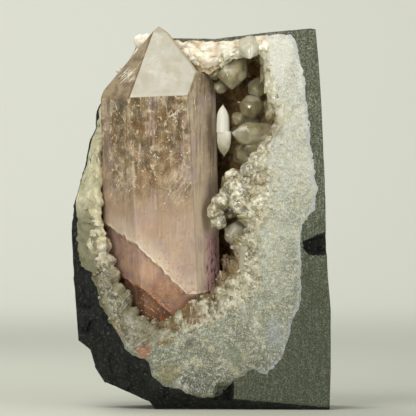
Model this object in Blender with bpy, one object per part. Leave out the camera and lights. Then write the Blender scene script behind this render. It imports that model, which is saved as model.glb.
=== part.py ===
"""A skeletal amethyst in the quartz-lined hollow of a broken and sawn piece of basalt.

Four pieces that grew in and against each other: the basalt block, the white quartz lining of its hollow,
the crust of small quartz crystals on that lining, and the one large stepped amethyst.
Frame: +Z up, the viewer looks along +Y at the sawn face, origin on the base. Sizes below are millimetres.
"""

import math

import bmesh
import bpy
import numpy as np
from mathutils import Euler, Matrix, Vector

MM = 0.001

# Driving sizes
HUB = (0.0, 52.0)  # x and z of the line along Y that every outline is drawn around
FACE_Y = -14.0  # the sawn face
BACK_Y = 27.0  # the broken back at its fullest
LINING_BACK_Y = 21.5  # deepest point of the lining, inside the basalt
HOLLOW_BACK_Y = 18.0  # deepest point of the hollow
GAP = 0.3  # left between pieces that touch
RIND = 0.9  # least basalt left outside the lining
LINING_WALL = 1.3  # least lining left outside the hollow
EDGE_BREAK = 0.7  # small chamfer along the sawn edge

# Silhouette of the block, (x, z), clockwise from the upper right corner. The base runs level at z = 0
BLOCK_OUTLINE = [
    (31.3, 102.9), (32.1, 94.5), (32.9, 82.4), (33.8, 62.1), (34.1, 48.0), (34.6, 36.5),
    (35.4, 27.0), (35.4, 10.8), (35.1, 0.0), (-12.2, 0.0), (-13.8, 1.9), (-21.3, 5.1), (-25.9, 7.0),
    (-28.6, 11.3), (-30.0, 15.9), (-33.2, 18.4), (-34.0, 28.9), (-34.8, 40.0), (-35.2, 48.6),
    (-34.6, 54.8), (-33.5, 59.4), (-31.6, 66.2), (-30.5, 72.4), (-28.6, 76.4), (-28.4, 81.5),
    (-27.0, 83.8), (-24.3, 88.0), (-20.3, 93.8), (-18.0, 98.0), (-16.8, 101.8), (-6.8, 101.1),
    (4.1, 100.7), (10.8, 101.3), (16.7, 102.1), (24.3, 102.6), (30.0, 103.2),
]  # fmt: skip

# Where the white lining meets the basalt on the front
LINING_OUTLINE = [
    (25.1, 100.4), (26.2, 98.6), (28.1, 89.9), (29.2, 79.7), (30.5, 68.3), (31.6, 59.4), (31.3, 54.5),
    (27.4, 49.9), (27.3, 44.6), (27.5, 36.5), (27.2, 30.1), (25.1, 23.4), (22.4, 14.3), (17.8, 9.5),
    (14.3, 10.8), (9.3, 8.1), (5.1, 3.6), (0.8, 2.9), (-4.9, 5.4), (-8.9, 5.7), (-13.0, 9.7),
    (-14.0, 13.0), (-19.7, 15.7), (-22.4, 20.3), (-26.7, 28.1), (-29.3, 37.0), (-32.7, 38.9),
    (-33.5, 44.6), (-32.9, 56.7), (-31.0, 66.2), (-28.5, 75.0), (-26.6, 85.9), (-17.9, 98.0),
    (-14.0, 101.1), (-6.8, 100.2), (4.1, 99.8), (10.8, 100.4), (24.3, 101.7),
]  # fmt: skip

# The hollow as the viewer sees it, at its narrowest
HOLLOW_OUTLINE = [
    (18.2, 92.6), (17.8, 89.0), (18.9, 85.6), (21.3, 82.1), (21.6, 78.3), (20.2, 74.2), (16.7, 70.2),
    (15.9, 66.7), (17.8, 63.2), (17.8, 58.0), (16.5, 54.8), (14.6, 51.8), (12.4, 45.9), (13.2, 42.7),
    (13.2, 38.6), (11.6, 35.1), (8.1, 32.7), (3.8, 30.0), (-4.9, 25.9), (-9.2, 23.8), (-14.6, 20.3),
    (-17.8, 21.3), (-20.5, 24.3), (-23.0, 28.9), (-26.2, 38.9), (-27.3, 56.7), (-27.6, 75.6),
    (-25.6, 85.5), (-17.8, 96.0), (-14.6, 98.4), (-9.0, 98.4), (-4.0, 95.4), (0.5, 92.4), (5.9, 93.1),
    (9.6, 95.0), (10.4, 98.6), (14.8, 98.9), (18.0, 96.2),
]  # fmt: skip

# How far the hollow flares open towards the front, by compass direction in degrees from +X
FLARE = [(-180, 1.4), (-110, 4.4), (-70, 5.4), (-35, 3.0), (0, 2.2), (60, 1.8), (90, 1.4), (180, 1.4)]
FLARE_DEPTH = 1.1  # depth of the flare as a share of its width

# Planes where the front is broken away, as y = a + b x + c z. The rock lies behind every one of them
BROKEN_FRONT = {
    "left": (-34.7, -0.90, 0.0),
    "lower left": (-21.0, -0.88, -0.705),
    "top left": (-37.5, -0.54, 0.343),
    "foot": (-9.6, -0.10, -1.10),
}

# The broken back, as flat facets: a point on each, and the way it faces
BACK_FACETS = [
    ((0.0, 27.0, 50.0), (0.05, 1.0, -0.06)),
    ((-31.0, 18.0, 50.0), (-0.75, 0.65, 0.05)),
    ((-25.0, 24.0, 82.0), (-0.45, 0.75, 0.35)),
    ((30.0, 22.5, 60.0), (0.55, 0.83, 0.08)),
    ((24.0, 24.5, 25.0), (0.32, 0.92, -0.20)),
    ((10.0, 23.0, 95.0), (0.12, 0.80, 0.60)),
    ((-18.0, 25.0, 18.0), (-0.42, 0.80, -0.42)),
    ((12.0, 26.3, 74.0), (0.16, 0.97, 0.20)),
    ((-8.0, 26.6, 38.0), (-0.15, 0.98, -0.15)),
    ((5.0, 23.0, 4.0), (0.0, 0.85, -0.52)),
]  # fmt: skip
# The dark chip out of the right edge, and the brown pit low in the front: a place on the sawn face, and the
# shortest way from there to each flat side of the hole
CHIP_SIDES = [(-2.6, 1.2, 0), (-1.9, 0.9, -1.7), (0, 0.8, -2.4), (-0.8, 0.5, 2.0), (-1, 3.2, 0)]
CHIP = ((30.9, -14.0, 44.4), CHIP_SIDES)
PIT_SIDES = [(-2.2, 0.6, 0.6), (2.2, 0.7, 0), (0.2, 0.9, 1.8), (0, 0.4, -2.6), (0, 3.0, 0.3)]
PIT = ((6.4, -14.0, 4.9), PIT_SIDES)
CHUNK_WIDTH = 18.0

RAYS_PER_TURN = 66  # about how many directions each outline is drawn in
BOWL_LOOPS = 6  # loops of points down the wall of each bowl
SIDE_TAPER = 0.02  # share that the block loses in size towards the back
SIDE_HACKLE = (17.0, 1.3)  # size and height of the broken relief on its sides

# The crust in the hollow, and the crystals that stand out of it, each with its tip (x, y, z), the way it
# points, its radius and its length back into the crust
CRUST_WALL = 1.3
CRUST_CLEARANCE = 0.45
CRYSTALS = [
    ((7.6, -5.5, 89.0), (-0.25, -0.75, -0.60), 4.3, 14.0),
    ((12.8, -9.0, 95.2), (-0.15, -0.75, -0.65), 3.8, 12.0),
    ((16.9, -7.5, 94.4), (-0.10, -0.80, -0.60), 2.2, 12.0),
    ((13.8, -1.0, 87.2), (-0.45, -0.85, -0.10), 3.0, 16.0),
    ((12.4, -5.0, 81.6), (-0.35, -0.93, 0.05), 3.5, 20.0),
    ((6.6, -4.2, 74.4), (-0.93, -0.35, -0.05), 3.6, 16.0),
    ((6.3, -4.4, 82.6), (0.03, -0.05, 1.0), 2.0, 7.5),
    ((6.2, -4.0, 69.0), (0.0, -0.05, -1.0), 2.0, 8.5),
    ((15.0, -7.0, 72.4), (-0.85, -0.45, 0.25), 1.9, 8.0),
    ((14.6, -9.0, 67.4), (-0.70, -0.60, 0.40), 2.6, 9.0),
    ((9.6, -5.0, 64.6), (-0.85, -0.45, 0.25), 3.2, 12.0),
    ((10.0, -8.0, 59.0), (-0.85, -0.55, 0.10), 3.9, 12.0),
    ((3.9, -8.4, 57.6), (-0.20, -0.35, 0.92), 2.3, 15.0),
    ((2.9, -9.4, 51.8), (-0.40, -0.60, 0.70), 2.3, 13.0),
    ((6.6, -5.5, 46.0), (-0.55, -0.80, -0.20), 3.3, 16.0),
    ((10.8, -9.2, 42.2), (-0.80, -0.50, 0.30), 3.6, 10.0),
    ((3.4, -5.0, 91.6), (-0.20, -0.85, -0.45), 1.5, 9.0),
]
SMALL_CRYSTALS = 26
FLOOR_CRYSTALS = 38
SEED = 7

# The amethyst. Its column is six-sided, seen a little from the left of one face
COLUMN_RADIUS = 15.9
COLUMN_TURN = 3.5  # degrees
COLUMN_FOOT = (-9.3, 4.0, 17.0)  # centre of its buried end
COLUMN_TILT = (4.0, -2.1)  # degrees towards the viewer, and to the left
FACE_SLOPE = 38.2  # degrees between a tip face and the axis: quartz always has this
# Height above the foot at which each tip face would cut the axis, from the front face, anticlockwise
TIP_HEIGHTS = [86.3, 92.0, 89.3, 88.5, 86.5, 86.5]
# How much each column face leans from upright, in the same order, about the middle of the column
FACE_LEANS = [0.0, 0.011, -0.037, 0.0, 0.045, -0.021]
COLUMN_MIDDLE = 44.0
# The stepped growth at the lower left: how far each layer stands back, and the cut that ends it
STEPS = [
    (0.0, (-1.077, -0.38, -1.0), (-4.6, -13.8, 26.7)),
    (0.9, (-0.94, -0.38, -1.0), (-3.6, -12.9, 14.9)),
    (2.2, (-0.83, 0.0, -0.557), (-14.2, 0.0, 17.8)),
]
BURIED_END = ((-0.50, 0.35, -0.79), (-2.5, 0.0, 0.0))  # the slanting end that nobody sees
# Where the lining grew over the right shoulder: it takes what lies beyond both of these
SHOULDER = [((0.797, 0.0, 0.603), (-8.05, 0.0, 101.5)), ((0.26, 0.0, 0.966), (-1.5, 0.0, 92.1))]


def rays(outline):
    """Directions from the hub, in radians and rising: one to each corner, and even steps between them."""
    corners = np.sort(direction_and_reach(outline)[0])
    gaps = np.diff(np.append(corners, corners[0] + math.tau))
    found = []
    for start, gap in zip(corners, gaps):
        count = max(1, round(gap / math.tau * RAYS_PER_TURN))
        found.extend(start + gap * np.arange(count) / count)
    return np.array(found)


def direction_and_reach(outline):
    """The angle and distance of each point of an outline from the hub."""
    away = np.array(outline) - HUB
    return np.arctan2(away[:, 1], away[:, 0]), np.hypot(away[:, 0], away[:, 1])


def reach(outline, angles):
    """Distance from the hub to a closed outline of straight lines, along each direction."""
    corner, far = direction_and_reach(outline)
    order = np.argsort(corner)
    corner, far = corner[order], far[order]
    corner = np.concatenate([corner[-1:] - math.tau, corner, corner[:1] + math.tau])
    far = np.concatenate([far[-1:], far, far[:1]])
    wrapped = (angles + math.pi) % math.tau - math.pi
    k = np.clip(np.searchsorted(corner, wrapped, side="right") - 1, 0, len(corner) - 2)
    before, after, span = wrapped - corner[k], corner[k + 1] - wrapped, corner[k + 1] - corner[k]
    return far[k] * far[k + 1] * np.sin(span) / (far[k] * np.sin(before) + far[k + 1] * np.sin(after))


def hackle(points, size, height):
    """Uneven broken-rock relief: three crossed waves of that size, as a height at each point."""
    a, b, c = (points @ Matrix.Rotation(0.9 * k, 3, (1, 2, 3)) / size for k in (1, 2, 3))
    waves = np.sin(a[:, 0] * 6.3 + 2 * np.sin(b[:, 1] * 3.1))
    waves += np.sin(b[:, 0] * 5.1 + 2 * np.sin(c[:, 2] * 2.7)) + np.sin(c[:, 1] * 7.7 + a[:, 2] * 4.3)
    return height * waves / 3


def ring(angles, radius, depth):
    """One loop of points around the hub: a distance and a depth for each direction."""
    x, z = HUB[0] + radius * np.cos(angles), HUB[1] + radius * np.sin(angles)
    return np.column_stack([x, np.broadcast_to(depth, x.shape), z])


def bowl(angles, radius, rim_depth, deepest, turns, squareness=4.0):
    """Loops from near the middle of a bowl out to just inside its rim, as a rounded-square section."""
    loops = []
    for step in range(1, turns + 1):
        turn = math.pi / 2 * step / (turns + 1)
        part, drop = math.sin(turn) ** (2 / squareness), math.cos(turn) ** (2 / squareness)
        loops.append(ring(angles, radius * part, rim_depth + (deepest - rim_depth) * drop))
    return loops


def loft(name, loops, first_pole, last_pole):
    """A closed mesh object through loops of points, with a point at each end."""
    count = len(loops[0])
    points = np.vstack([[first_pole], *loops, [last_pole]]) * MM
    here = np.arange(count)
    after = (here + 1) % count
    triangles = [np.column_stack([np.zeros(count, int), 1 + after, 1 + here])]
    for k in range(len(loops) - 1):
        inner, outer = 1 + k * count, 1 + (k + 1) * count
        triangles.append(np.column_stack([inner + here, inner + after, outer + after]))
        triangles.append(np.column_stack([inner + here, outer + after, outer + here]))
    last = 1 + (len(loops) - 1) * count
    triangles.append(np.column_stack([last + here, last + after, np.full(count, len(points) - 1)]))
    mesh = bpy.data.meshes.new(name)
    mesh.from_pydata(points.tolist(), [], np.vstack(triangles).tolist())
    bm = bmesh.new()
    bm.from_mesh(mesh)
    bmesh.ops.recalc_face_normals(bm, faces=bm.faces)
    bm.to_mesh(mesh)
    bm.free()
    return link(name, mesh)


def link(name, mesh):
    obj = bpy.data.objects.new(name, mesh)
    bpy.context.scene.collection.objects.link(obj)
    return obj


def boolean(obj, other, operation):
    """Cuts, joins or trims obj with other, and applies it. The other is used up."""
    modifier = obj.modifiers.new(operation.lower(), "BOOLEAN")
    modifier.operation = operation
    modifier.object = other
    bpy.context.view_layer.update()
    graph = bpy.context.evaluated_depsgraph_get()
    cut = bpy.data.meshes.new_from_object(obj.evaluated_get(graph))
    obj.modifiers.clear()
    obj.data = cut
    bpy.data.objects.remove(other)
    return obj


def material(obj, name, colour, roughness, see_through=0.0):
    made = bpy.data.materials.new(name)
    made.use_nodes = True
    shader = made.node_tree.nodes["Principled BSDF"]
    shader.inputs["Base Color"].default_value = (*colour, 1)
    shader.inputs["Roughness"].default_value = roughness
    shader.inputs["Transmission Weight"].default_value = see_through
    shader.inputs["IOR"].default_value = 1.544
    obj.data.materials.clear()
    obj.data.materials.append(made)


def block_shape(angles):
    """Distances of the block's silhouette, the lining's edge, the hollow's flare and the hollow itself."""
    block = reach(BLOCK_OUTLINE, angles)
    lining = np.minimum(reach(LINING_OUTLINE, angles), block - RIND - GAP)
    turn = np.degrees((angles + math.pi) % math.tau - math.pi)
    flare = np.interp(turn, [a for a, _ in FLARE], [w for _, w in FLARE])
    hollow = np.minimum(reach(HOLLOW_OUTLINE, angles), lining - LINING_WALL - flare * 0.5)
    mouth = np.minimum(hollow + flare, lining - LINING_WALL)
    return block, lining, mouth, hollow


def throat_depth(mouth, hollow):
    """Depth of the hollow's narrowest loop, set back from the sawn face by the flare."""
    return FACE_Y + FLARE_DEPTH * (mouth - hollow)


def make_basalt(angles, block, lining):
    """The dark block: a socket for the lining, the sawn and broken front, the sides, and the broken back."""
    socket = lining + GAP
    loops = bowl(angles, socket, FACE_Y, LINING_BACK_Y + GAP, BOWL_LOOPS)
    loops += [ring(angles, socket, FACE_Y), ring(angles, block - EDGE_BREAK * 0.6, FACE_Y)]
    loops.append(ring(angles, block, FACE_Y + EDGE_BREAK))
    on_base = loops[-1][:, 2] < 1e-6
    for share in (0.33, 0.67, 1.0):
        depth = FACE_Y + EDGE_BREAK + (BACK_Y + 2 - FACE_Y - EDGE_BREAK) * share
        side = ring(angles, block * (1 - SIDE_TAPER * share), depth)
        broken = np.clip(0.5 - side[:, 0] / 16, 0.2, 1)  # the left side is broken, the right one sawn
        side[:, 0] += broken * hackle(side, *SIDE_HACKLE)
        side[:, 2] = np.where(on_base, 0.0, np.maximum(side[:, 2], 0.0))
        loops.append(side)
    poles = [(HUB[0], depth, HUB[1]) for depth in (LINING_BACK_Y + GAP, BACK_Y + 2)]
    rock = loft("basalt_matrix", loops, *poles)
    bm = bmesh.new()
    bm.from_mesh(rock.data)
    cut_to_planes(bm, [(point * MM, outward) for point, outward in moved_out(BACK_FACETS, 0.0)])
    bm.to_mesh(rock.data)
    bm.free()
    break_front(rock)
    for broken in (CHIP, PIT):
        boolean(rock, broken_out(*broken), "DIFFERENCE")
    material(rock, "basalt", (0.075, 0.083, 0.066), 0.85)
    return rock


def make_lining(angles, lining, mouth, hollow):
    """The white quartz between the basalt and the hollow, sawn and broken flush with the front."""
    throat = throat_depth(mouth, hollow)
    loops = bowl(angles, hollow, throat, HOLLOW_BACK_Y, BOWL_LOOPS)
    loops += [ring(angles, hollow, throat), ring(angles, mouth, FACE_Y), ring(angles, lining, FACE_Y)]
    loops.extend(reversed(bowl(angles, lining, FACE_Y, LINING_BACK_Y, BOWL_LOOPS)))
    poles = [(HUB[0], depth, HUB[1]) for depth in (HOLLOW_BACK_Y, LINING_BACK_Y)]
    quartz = loft("quartz_lining", loops, *poles)
    break_front(quartz)
    boolean(quartz, broken_out(*PIT), "DIFFERENCE")
    material(quartz, "white_quartz", (0.60, 0.58, 0.47), 0.6)
    return quartz


def break_front(obj, set_back=0.0):
    """Takes off everything in front of the broken planes, or of the same planes set back a little."""
    for a, b, c in BROKEN_FRONT.values():
        planes = moved_out([((0, a, 0), (-b, 1, -c))], set_back)
        boolean(obj, chunk((0, a, HUB[1]), planes, 160), "DIFFERENCE")


def cut_to_planes(bm, planes):
    """Keeps what lies behind every plane of a convex block, and closes each cut with one flat face."""
    for point, outward in planes:
        everything = bm.verts[:] + bm.edges[:] + bm.faces[:]
        cut = bmesh.ops.bisect_plane(
            bm, geom=everything, dist=1e-7, plane_co=point, plane_no=outward, clear_outer=True
        )
        rim = [e for e in cut["geom_cut"] if isinstance(e, bmesh.types.BMEdge)]
        if rim:
            bmesh.ops.edgeloop_fill(bm, edges=rim)
    bmesh.ops.recalc_face_normals(bm, faces=bm.faces)


def quartz_planes(radius, tip_heights, turn=0.0, flatten=1.0, leans=(0,) * 6, middle=0.0):
    """The six column faces and six tip faces of a quartz crystal whose axis is +Z from its foot at zero."""
    slope = math.radians(90 - FACE_SLOPE)
    planes = []
    for k, (height, lean) in enumerate(zip(tip_heights, leans)):
        azimuth = math.radians(-90 + turn + 60 * k)
        side = Vector((math.cos(azimuth), math.sin(azimuth), 0))
        apothem = radius * math.cos(math.radians(30)) * (flatten if k % 3 == 0 else 1.0)
        planes.append((side * apothem + Vector((0, 0, middle)), side + Vector((0, 0, lean))))
        planes.append((Vector((0, 0, height)), side * math.sin(slope) + Vector((0, 0, math.cos(slope)))))
    return planes


def moved_out(planes, grow):
    """The same planes with unit normals, each moved outwards by grow."""
    moved = []
    for point, outward in planes:
        outward = Vector(outward).normalized()
        moved.append((Vector(point) + outward * grow, outward))
    return moved


def crystal_mesh(name, planes, length, width, foot=0.0):
    """A convex crystal cut from a block that is taller and wider than it."""
    bm = bmesh.new()
    bmesh.ops.create_cube(bm, size=1)
    bmesh.ops.scale(bm, vec=(4 * width, 4 * width, 2 * length), verts=bm.verts)
    cut_to_planes(bm, [*planes, (Vector((0, 0, foot)), Vector((0, 0, -1)))])
    bmesh.ops.scale(bm, vec=(MM, MM, MM), verts=bm.verts)
    mesh = bpy.data.meshes.new(name)
    bm.to_mesh(mesh)
    bm.free()
    return mesh


def make_amethyst(name, grow=0.0):
    """The large crystal: three layers of one column, each set back and ended by its own slanting cut."""
    layers = []
    for inset, outward, through in STEPS:
        heights = np.array(TIP_HEIGHTS) - inset
        planes = quartz_planes(
            COLUMN_RADIUS - inset, heights, COLUMN_TURN, leans=FACE_LEANS, middle=COLUMN_MIDDLE
        )
        planes.append((through, outward))
        if layers:  # the inner layers share the slanting lower left flank and the buried end
            planes += [(STEPS[-1][2], STEPS[-1][1]), (BURIED_END[1], BURIED_END[0])]
        mesh = crystal_mesh(name, moved_out(planes, grow), max(TIP_HEIGHTS), COLUMN_RADIUS, -grow)
        layers.append(link(name, mesh))
    obj = layers[0]
    obj.location = Vector(COLUMN_FOOT) * MM
    obj.rotation_euler = Euler((math.radians(COLUMN_TILT[0]), math.radians(COLUMN_TILT[1]), 0))
    for layer in layers[1:]:
        layer.location, layer.rotation_euler = obj.location, obj.rotation_euler
        boolean(obj, layer, "UNION")
    over_shoulder = [(point, -Vector(outward)) for outward, point in SHOULDER]
    boolean(obj, chunk(SHOULDER[1][1], moved_out(over_shoulder, -grow), 80), "DIFFERENCE")
    return obj


def chunk(centre, planes, width):
    """A block around centre, cut to planes, for taking a piece out of something."""
    bm = bmesh.new()
    bmesh.ops.create_cube(bm, size=width, matrix=Matrix.Translation(centre))
    cut_to_planes(bm, planes)
    bmesh.ops.scale(bm, vec=(MM, MM, MM), verts=bm.verts)
    mesh = bpy.data.meshes.new("chunk")
    bm.to_mesh(mesh)
    bm.free()
    return link("chunk", mesh)


def broken_out(place, ways):
    """The piece missing from a chip or pit, as a block cut by the flat sides of the hole."""
    planes = [(Vector(place) + Vector(way), way) for way in ways]
    return chunk(place, moved_out(planes, 0.0), CHUNK_WIDTH)


def room_for_crust(angles, mouth, hollow):
    """The hollow as a solid, smaller by the clearance, carried on to the front, and without the amethyst."""
    throat = throat_depth(mouth, hollow)
    inner, rim = hollow - CRUST_CLEARANCE, mouth - CRUST_CLEARANCE
    loops = bowl(angles, inner, throat, HOLLOW_BACK_Y - CRUST_CLEARANCE, BOWL_LOOPS)
    loops += [ring(angles, inner, throat), ring(angles, rim, FACE_Y), ring(angles, rim, FACE_Y - 1)]
    poles = [(HUB[0], depth, HUB[1]) for depth in (HOLLOW_BACK_Y - CRUST_CLEARANCE, FACE_Y - 1)]
    room = loft("room_for_crust", loops, *poles)
    break_front(room, set_back=GAP)
    return boolean(room, make_amethyst("room_for_amethyst", grow=GAP), "DIFFERENCE")


def crust_shell(angles, mouth, hollow):
    """The thin layer of quartz that all the small crystals grow from, out over the flare."""
    throat = throat_depth(mouth, hollow)
    near, far = CRUST_CLEARANCE / 2, CRUST_CLEARANCE + CRUST_WALL
    deepest = HOLLOW_BACK_Y - near
    lip = np.maximum(mouth - far, hollow - far + 0.3)
    loops = bowl(angles, hollow - near, throat, deepest, BOWL_LOOPS)
    loops += [ring(angles, hollow - near, throat), ring(angles, mouth - near - 0.4, FACE_Y + 0.5)]
    loops += [ring(angles, lip, FACE_Y + 0.9), ring(angles, hollow - far, throat - 0.2)]
    loops += reversed(bowl(angles, hollow - far, throat, deepest - far, BOWL_LOOPS))
    return loft("vug_crystals", loops, (HUB[0], deepest, HUB[1]), (HUB[0], deepest - far, HUB[1]))


def crystal(tip, way, radius, length, rng):
    """A quartz crystal with its tip at that point, its faces a little uneven as they grow."""
    heights = length - radius * rng.uniform(0.0, 0.35, 6)
    planes = quartz_planes(radius, heights, turn=rng.uniform(0, 60), flatten=rng.uniform(0.85, 1.0))
    obj = link("crystal", crystal_mesh("crystal", planes, length, radius))
    way = Vector(way).normalized()
    obj.rotation_euler = way.to_track_quat("Z", "Y").to_euler()
    obj.location = (Vector(tip) - way * length * 0.93) * MM
    return obj


def small_crystals(angles, mouth, hollow, rng):
    """Points on the wall and the flare of the hollow, and a crystal on each that leans towards its middle."""
    throat = throat_depth(mouth, hollow)
    low = np.flatnonzero(np.sin(angles) < -0.35)
    for count in range(SMALL_CRYSTALS + FLOOR_CRYSTALS):
        if count < SMALL_CRYSTALS:
            k = rng.integers(len(angles))
            depth = throat + rng.uniform(0, 0.5) * (HOLLOW_BACK_Y - throat)
            wall = ring(angles, hollow - CRUST_WALL, depth)[k]
        else:
            k = rng.choice(low)
            share = rng.uniform(0, 1)
            wall = ring(angles, hollow - CRUST_WALL + (mouth - hollow) * share, throat)[k]
            wall[1] += 0.6 - FLARE_DEPTH * (mouth - hollow)[k] * share
        inwards = Vector((HUB[0] - wall[0], -14 * rng.uniform(0.3, 1.0), HUB[1] - wall[2])).normalized()
        way = (inwards + Vector(rng.uniform(-0.45, 0.45, 3))).normalized()
        radius = rng.uniform(1.1, 2.3)
        height = radius * rng.uniform(0.7, 1.5)
        yield crystal(Vector(wall) + way * height, way, radius, height + 2 * radius, rng)


def largest_body(obj):
    """Drops the crumbs that trimming leaves, so that the crust is one piece."""
    bm = bmesh.new()
    bm.from_mesh(obj.data)
    left, best = set(bm.verts), set()
    while left:
        body, edge = set(), [left.pop()]
        while edge:
            vert = edge.pop()
            body.add(vert)
            found = {e.other_vert(vert) for e in vert.link_edges} & left
            left -= found
            edge.extend(found)
        best = max(best, body, key=len)
    bmesh.ops.delete(bm, geom=[v for v in bm.verts if v not in best], context="VERTS")
    bm.to_mesh(obj.data)
    bm.free()


def make_crust(angles, mouth, hollow):
    rng = np.random.default_rng(SEED)
    crust = crust_shell(angles, mouth, hollow)
    for tip, way, radius, length in CRYSTALS:
        boolean(crust, crystal(tip, way, radius, length, rng), "UNION")
    for small in small_crystals(angles, mouth, hollow, rng):
        boolean(crust, small, "UNION")
    boolean(crust, room_for_crust(angles, mouth, hollow), "INTERSECT")
    largest_body(crust)
    material(crust, "clear_quartz", (0.42, 0.38, 0.28), 0.2, see_through=0.4)
    return crust


def main():
    for obj in list(bpy.data.objects):
        bpy.data.objects.remove(obj)
    angles = rays(BLOCK_OUTLINE)
    block, lining, mouth, hollow = block_shape(angles)
    rock = make_basalt(angles, block, lining)
    quartz = make_lining(angles, lining, mouth, hollow)
    for around in (rock, quartz):
        boolean(around, make_amethyst("room_for_amethyst", grow=GAP), "DIFFERENCE")
    amethyst = make_amethyst("amethyst_crystal")
    material(amethyst, "amethyst", (0.62, 0.48, 0.50), 0.08, see_through=0.9)
    make_crust(angles, mouth, hollow)


main()
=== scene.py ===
# %% [markdown]
# # A stepped amethyst in the quartz-lined hollow of a basalt block
#
# The specimen is a lump of dark basalt, sawn flat in front and broken elsewhere. A gas bubble in the rock was
# lined with white quartz and chalcedony, small quartz crystals grew on the lining, and one large amethyst
# grew across the hollow. Four natural things meet here, and each gets its own pieces and its own finish.
#
# Every shape is a surface of two parameters, worked out with numpy as whole arrays: rings round a hub for the
# rock and its hollow, rings round an axis for the crystals. Sizes are in millimetres.

# %% Load the frame that everything is built around
import itertools
import math

import bpy
import numpy as np
from mathutils import Euler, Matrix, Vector


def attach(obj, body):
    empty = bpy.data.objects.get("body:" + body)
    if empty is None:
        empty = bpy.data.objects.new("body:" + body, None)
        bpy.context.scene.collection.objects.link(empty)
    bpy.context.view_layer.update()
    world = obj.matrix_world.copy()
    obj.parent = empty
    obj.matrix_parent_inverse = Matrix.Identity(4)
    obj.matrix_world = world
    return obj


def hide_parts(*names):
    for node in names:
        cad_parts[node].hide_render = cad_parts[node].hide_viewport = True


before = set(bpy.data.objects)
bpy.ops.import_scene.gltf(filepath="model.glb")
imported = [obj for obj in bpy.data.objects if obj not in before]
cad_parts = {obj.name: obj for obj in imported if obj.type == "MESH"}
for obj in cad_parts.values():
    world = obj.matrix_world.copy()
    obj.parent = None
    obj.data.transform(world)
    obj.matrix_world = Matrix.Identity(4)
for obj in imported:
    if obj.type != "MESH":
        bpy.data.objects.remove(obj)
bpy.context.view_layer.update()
MM = 0.001
print("solids to dress:", sorted(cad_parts))

# %% [markdown]
# ## Unevenness
#
# Three kinds of unevenness do for all shapes: a soft one, the same in several sizes on top of each other, and
# one of flat slopes. They are functions of a place in space, so neighbouring points agree.

# %% Soft unevenness
rng = np.random.default_rng(11)
LATTICE = 48
VALUES = rng.uniform(-1, 1, (LATTICE,) * 3)
JITTER = rng.uniform(0, 1, (LATTICE,) * 3 + (3,))
TILT = rng.normal(0, 1, (LATTICE,) * 3 + (3,))


def at_lattice(table, cell):
    """Looks numbers up by lattice cell. The table repeats in all directions."""
    i, j, k = np.moveaxis(cell % LATTICE, -1, 0)
    return table[i, j, k]


def noise(points, size, seed=0):
    """Random numbers from -1 to 1 on a lattice of that size, blended inside each cell by t*t*(3 - 2*t)."""
    place = points / size + 7.31 * seed
    cell = np.floor(place).astype(int)
    t = place - cell
    t = t * t * (3 - 2 * t)
    total = np.zeros(place.shape[:-1])
    for corner in itertools.product((0, 1), repeat=3):
        weight = np.prod(np.where(corner, t, 1 - t), axis=-1)
        total += weight * at_lattice(VALUES, cell + corner)
    return total


def rough(points, size, octaves=3, seed=0):
    """The sum of that noise at a size, half of it at half the size, a quarter at a quarter, and so on."""
    return sum(0.5**k * noise(points, size * 0.5**k, seed + 3 * k) for k in range(octaves))


print("noise at one place:", float(np.round(noise(np.array([3.0, 1.0, 4.0]), 2.0), 3)))

# %% [markdown]
# Rock breaks in flat slopes, and a crust of crystals is a crowd of flat-sided points. For both, every place
# belongs to the nearest of some scattered centres, one to a cell of the lattice.


# %% Flat slopes and crowded points
def facets(points, size, seed=0):
    """Flat slopes: a point's height is its offset from its centre along a random direction. Returns the
    height and how near the edge it is."""
    place = points / size + 5.17 * seed
    cell = np.floor(place).astype(int)
    nearest = np.full(place.shape[:-1], 9.0)
    second = np.full(place.shape[:-1], 9.0)
    height = np.zeros(place.shape[:-1])
    for step in itertools.product((-1, 0, 1), repeat=3):
        owner = cell + step
        offset = place - owner - at_lattice(JITTER, owner)
        away = np.sum(offset * offset, axis=-1)
        closer = away < nearest
        second = np.where(closer, nearest, np.minimum(second, away))
        height = np.where(closer, np.sum(offset * at_lattice(TILT, owner), axis=-1), height)
        nearest = np.where(closer, away, nearest)
    return height * 0.6, np.sqrt(second) - np.sqrt(nearest)


def crystal_points(points, size, seed=0):
    """Flat-sided points: the height is the distance to the border of a centre's ground. The border with a
    centre b is the plane halfway, so from a centre a the distance is ((a + b) / 2 - p) . (b - a) / |b - a|.
    Also returns a random number for each."""
    place = points / size + 5.17 * seed
    cell = np.floor(place).astype(int)
    owners = [cell + step for step in itertools.product((-1, 0, 1), repeat=3)]
    centres = np.stack([owner + at_lattice(JITTER, owner) for owner in owners])
    nearest = np.linalg.norm(place - centres, axis=-1).argmin(axis=0)[None, ..., None]
    own = np.take_along_axis(centres, nearest, 0)
    apart = centres - own
    gap = np.linalg.norm(apart, axis=-1)
    border = np.sum(((own + centres) / 2 - place) * apart, axis=-1) / np.maximum(gap, 1e-9)
    border = np.where(gap < 1e-6, 9.0, border)
    return size * border.min(axis=0), at_lattice(VALUES, np.floor(own[0]).astype(int))


print("height of a slope at one place:", float(np.round(facets(np.array([3.0, 1.0, 4.0]), 2.0)[0], 3)))

# %% [markdown]
# Two small helpers join shapes: a smooth step from 0 to 1, and the smaller of two lengths without its corner.


# %% Smooth steps and joins
def step_up(low, high, x):
    """0 below low, 1 above high, and a smooth rise between them."""
    t = np.clip((x - low) / (high - low), 0, 1)
    return t * t * (3 - 2 * t)


def soft_min(first, second, width):
    """The smaller of two lengths, with the corner between them rounded over about that width."""
    share = np.clip(0.5 + 0.5 * (second - first) / width, 0, 1)
    return second + (first - second) * share - width * share * (1 - share)


print("a quarter of the way along a step it has risen to", float(step_up(0, 1, np.array(0.25))))

# %% [markdown]
# ## From rings of points to a closed mesh
#
# In a grid of points, ring after ring, each point is joined to its neighbours, the last column to the first,
# and a single point closes each end. If the enclosed volume comes out negative, the faces look inwards and
# are turned round.


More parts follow.
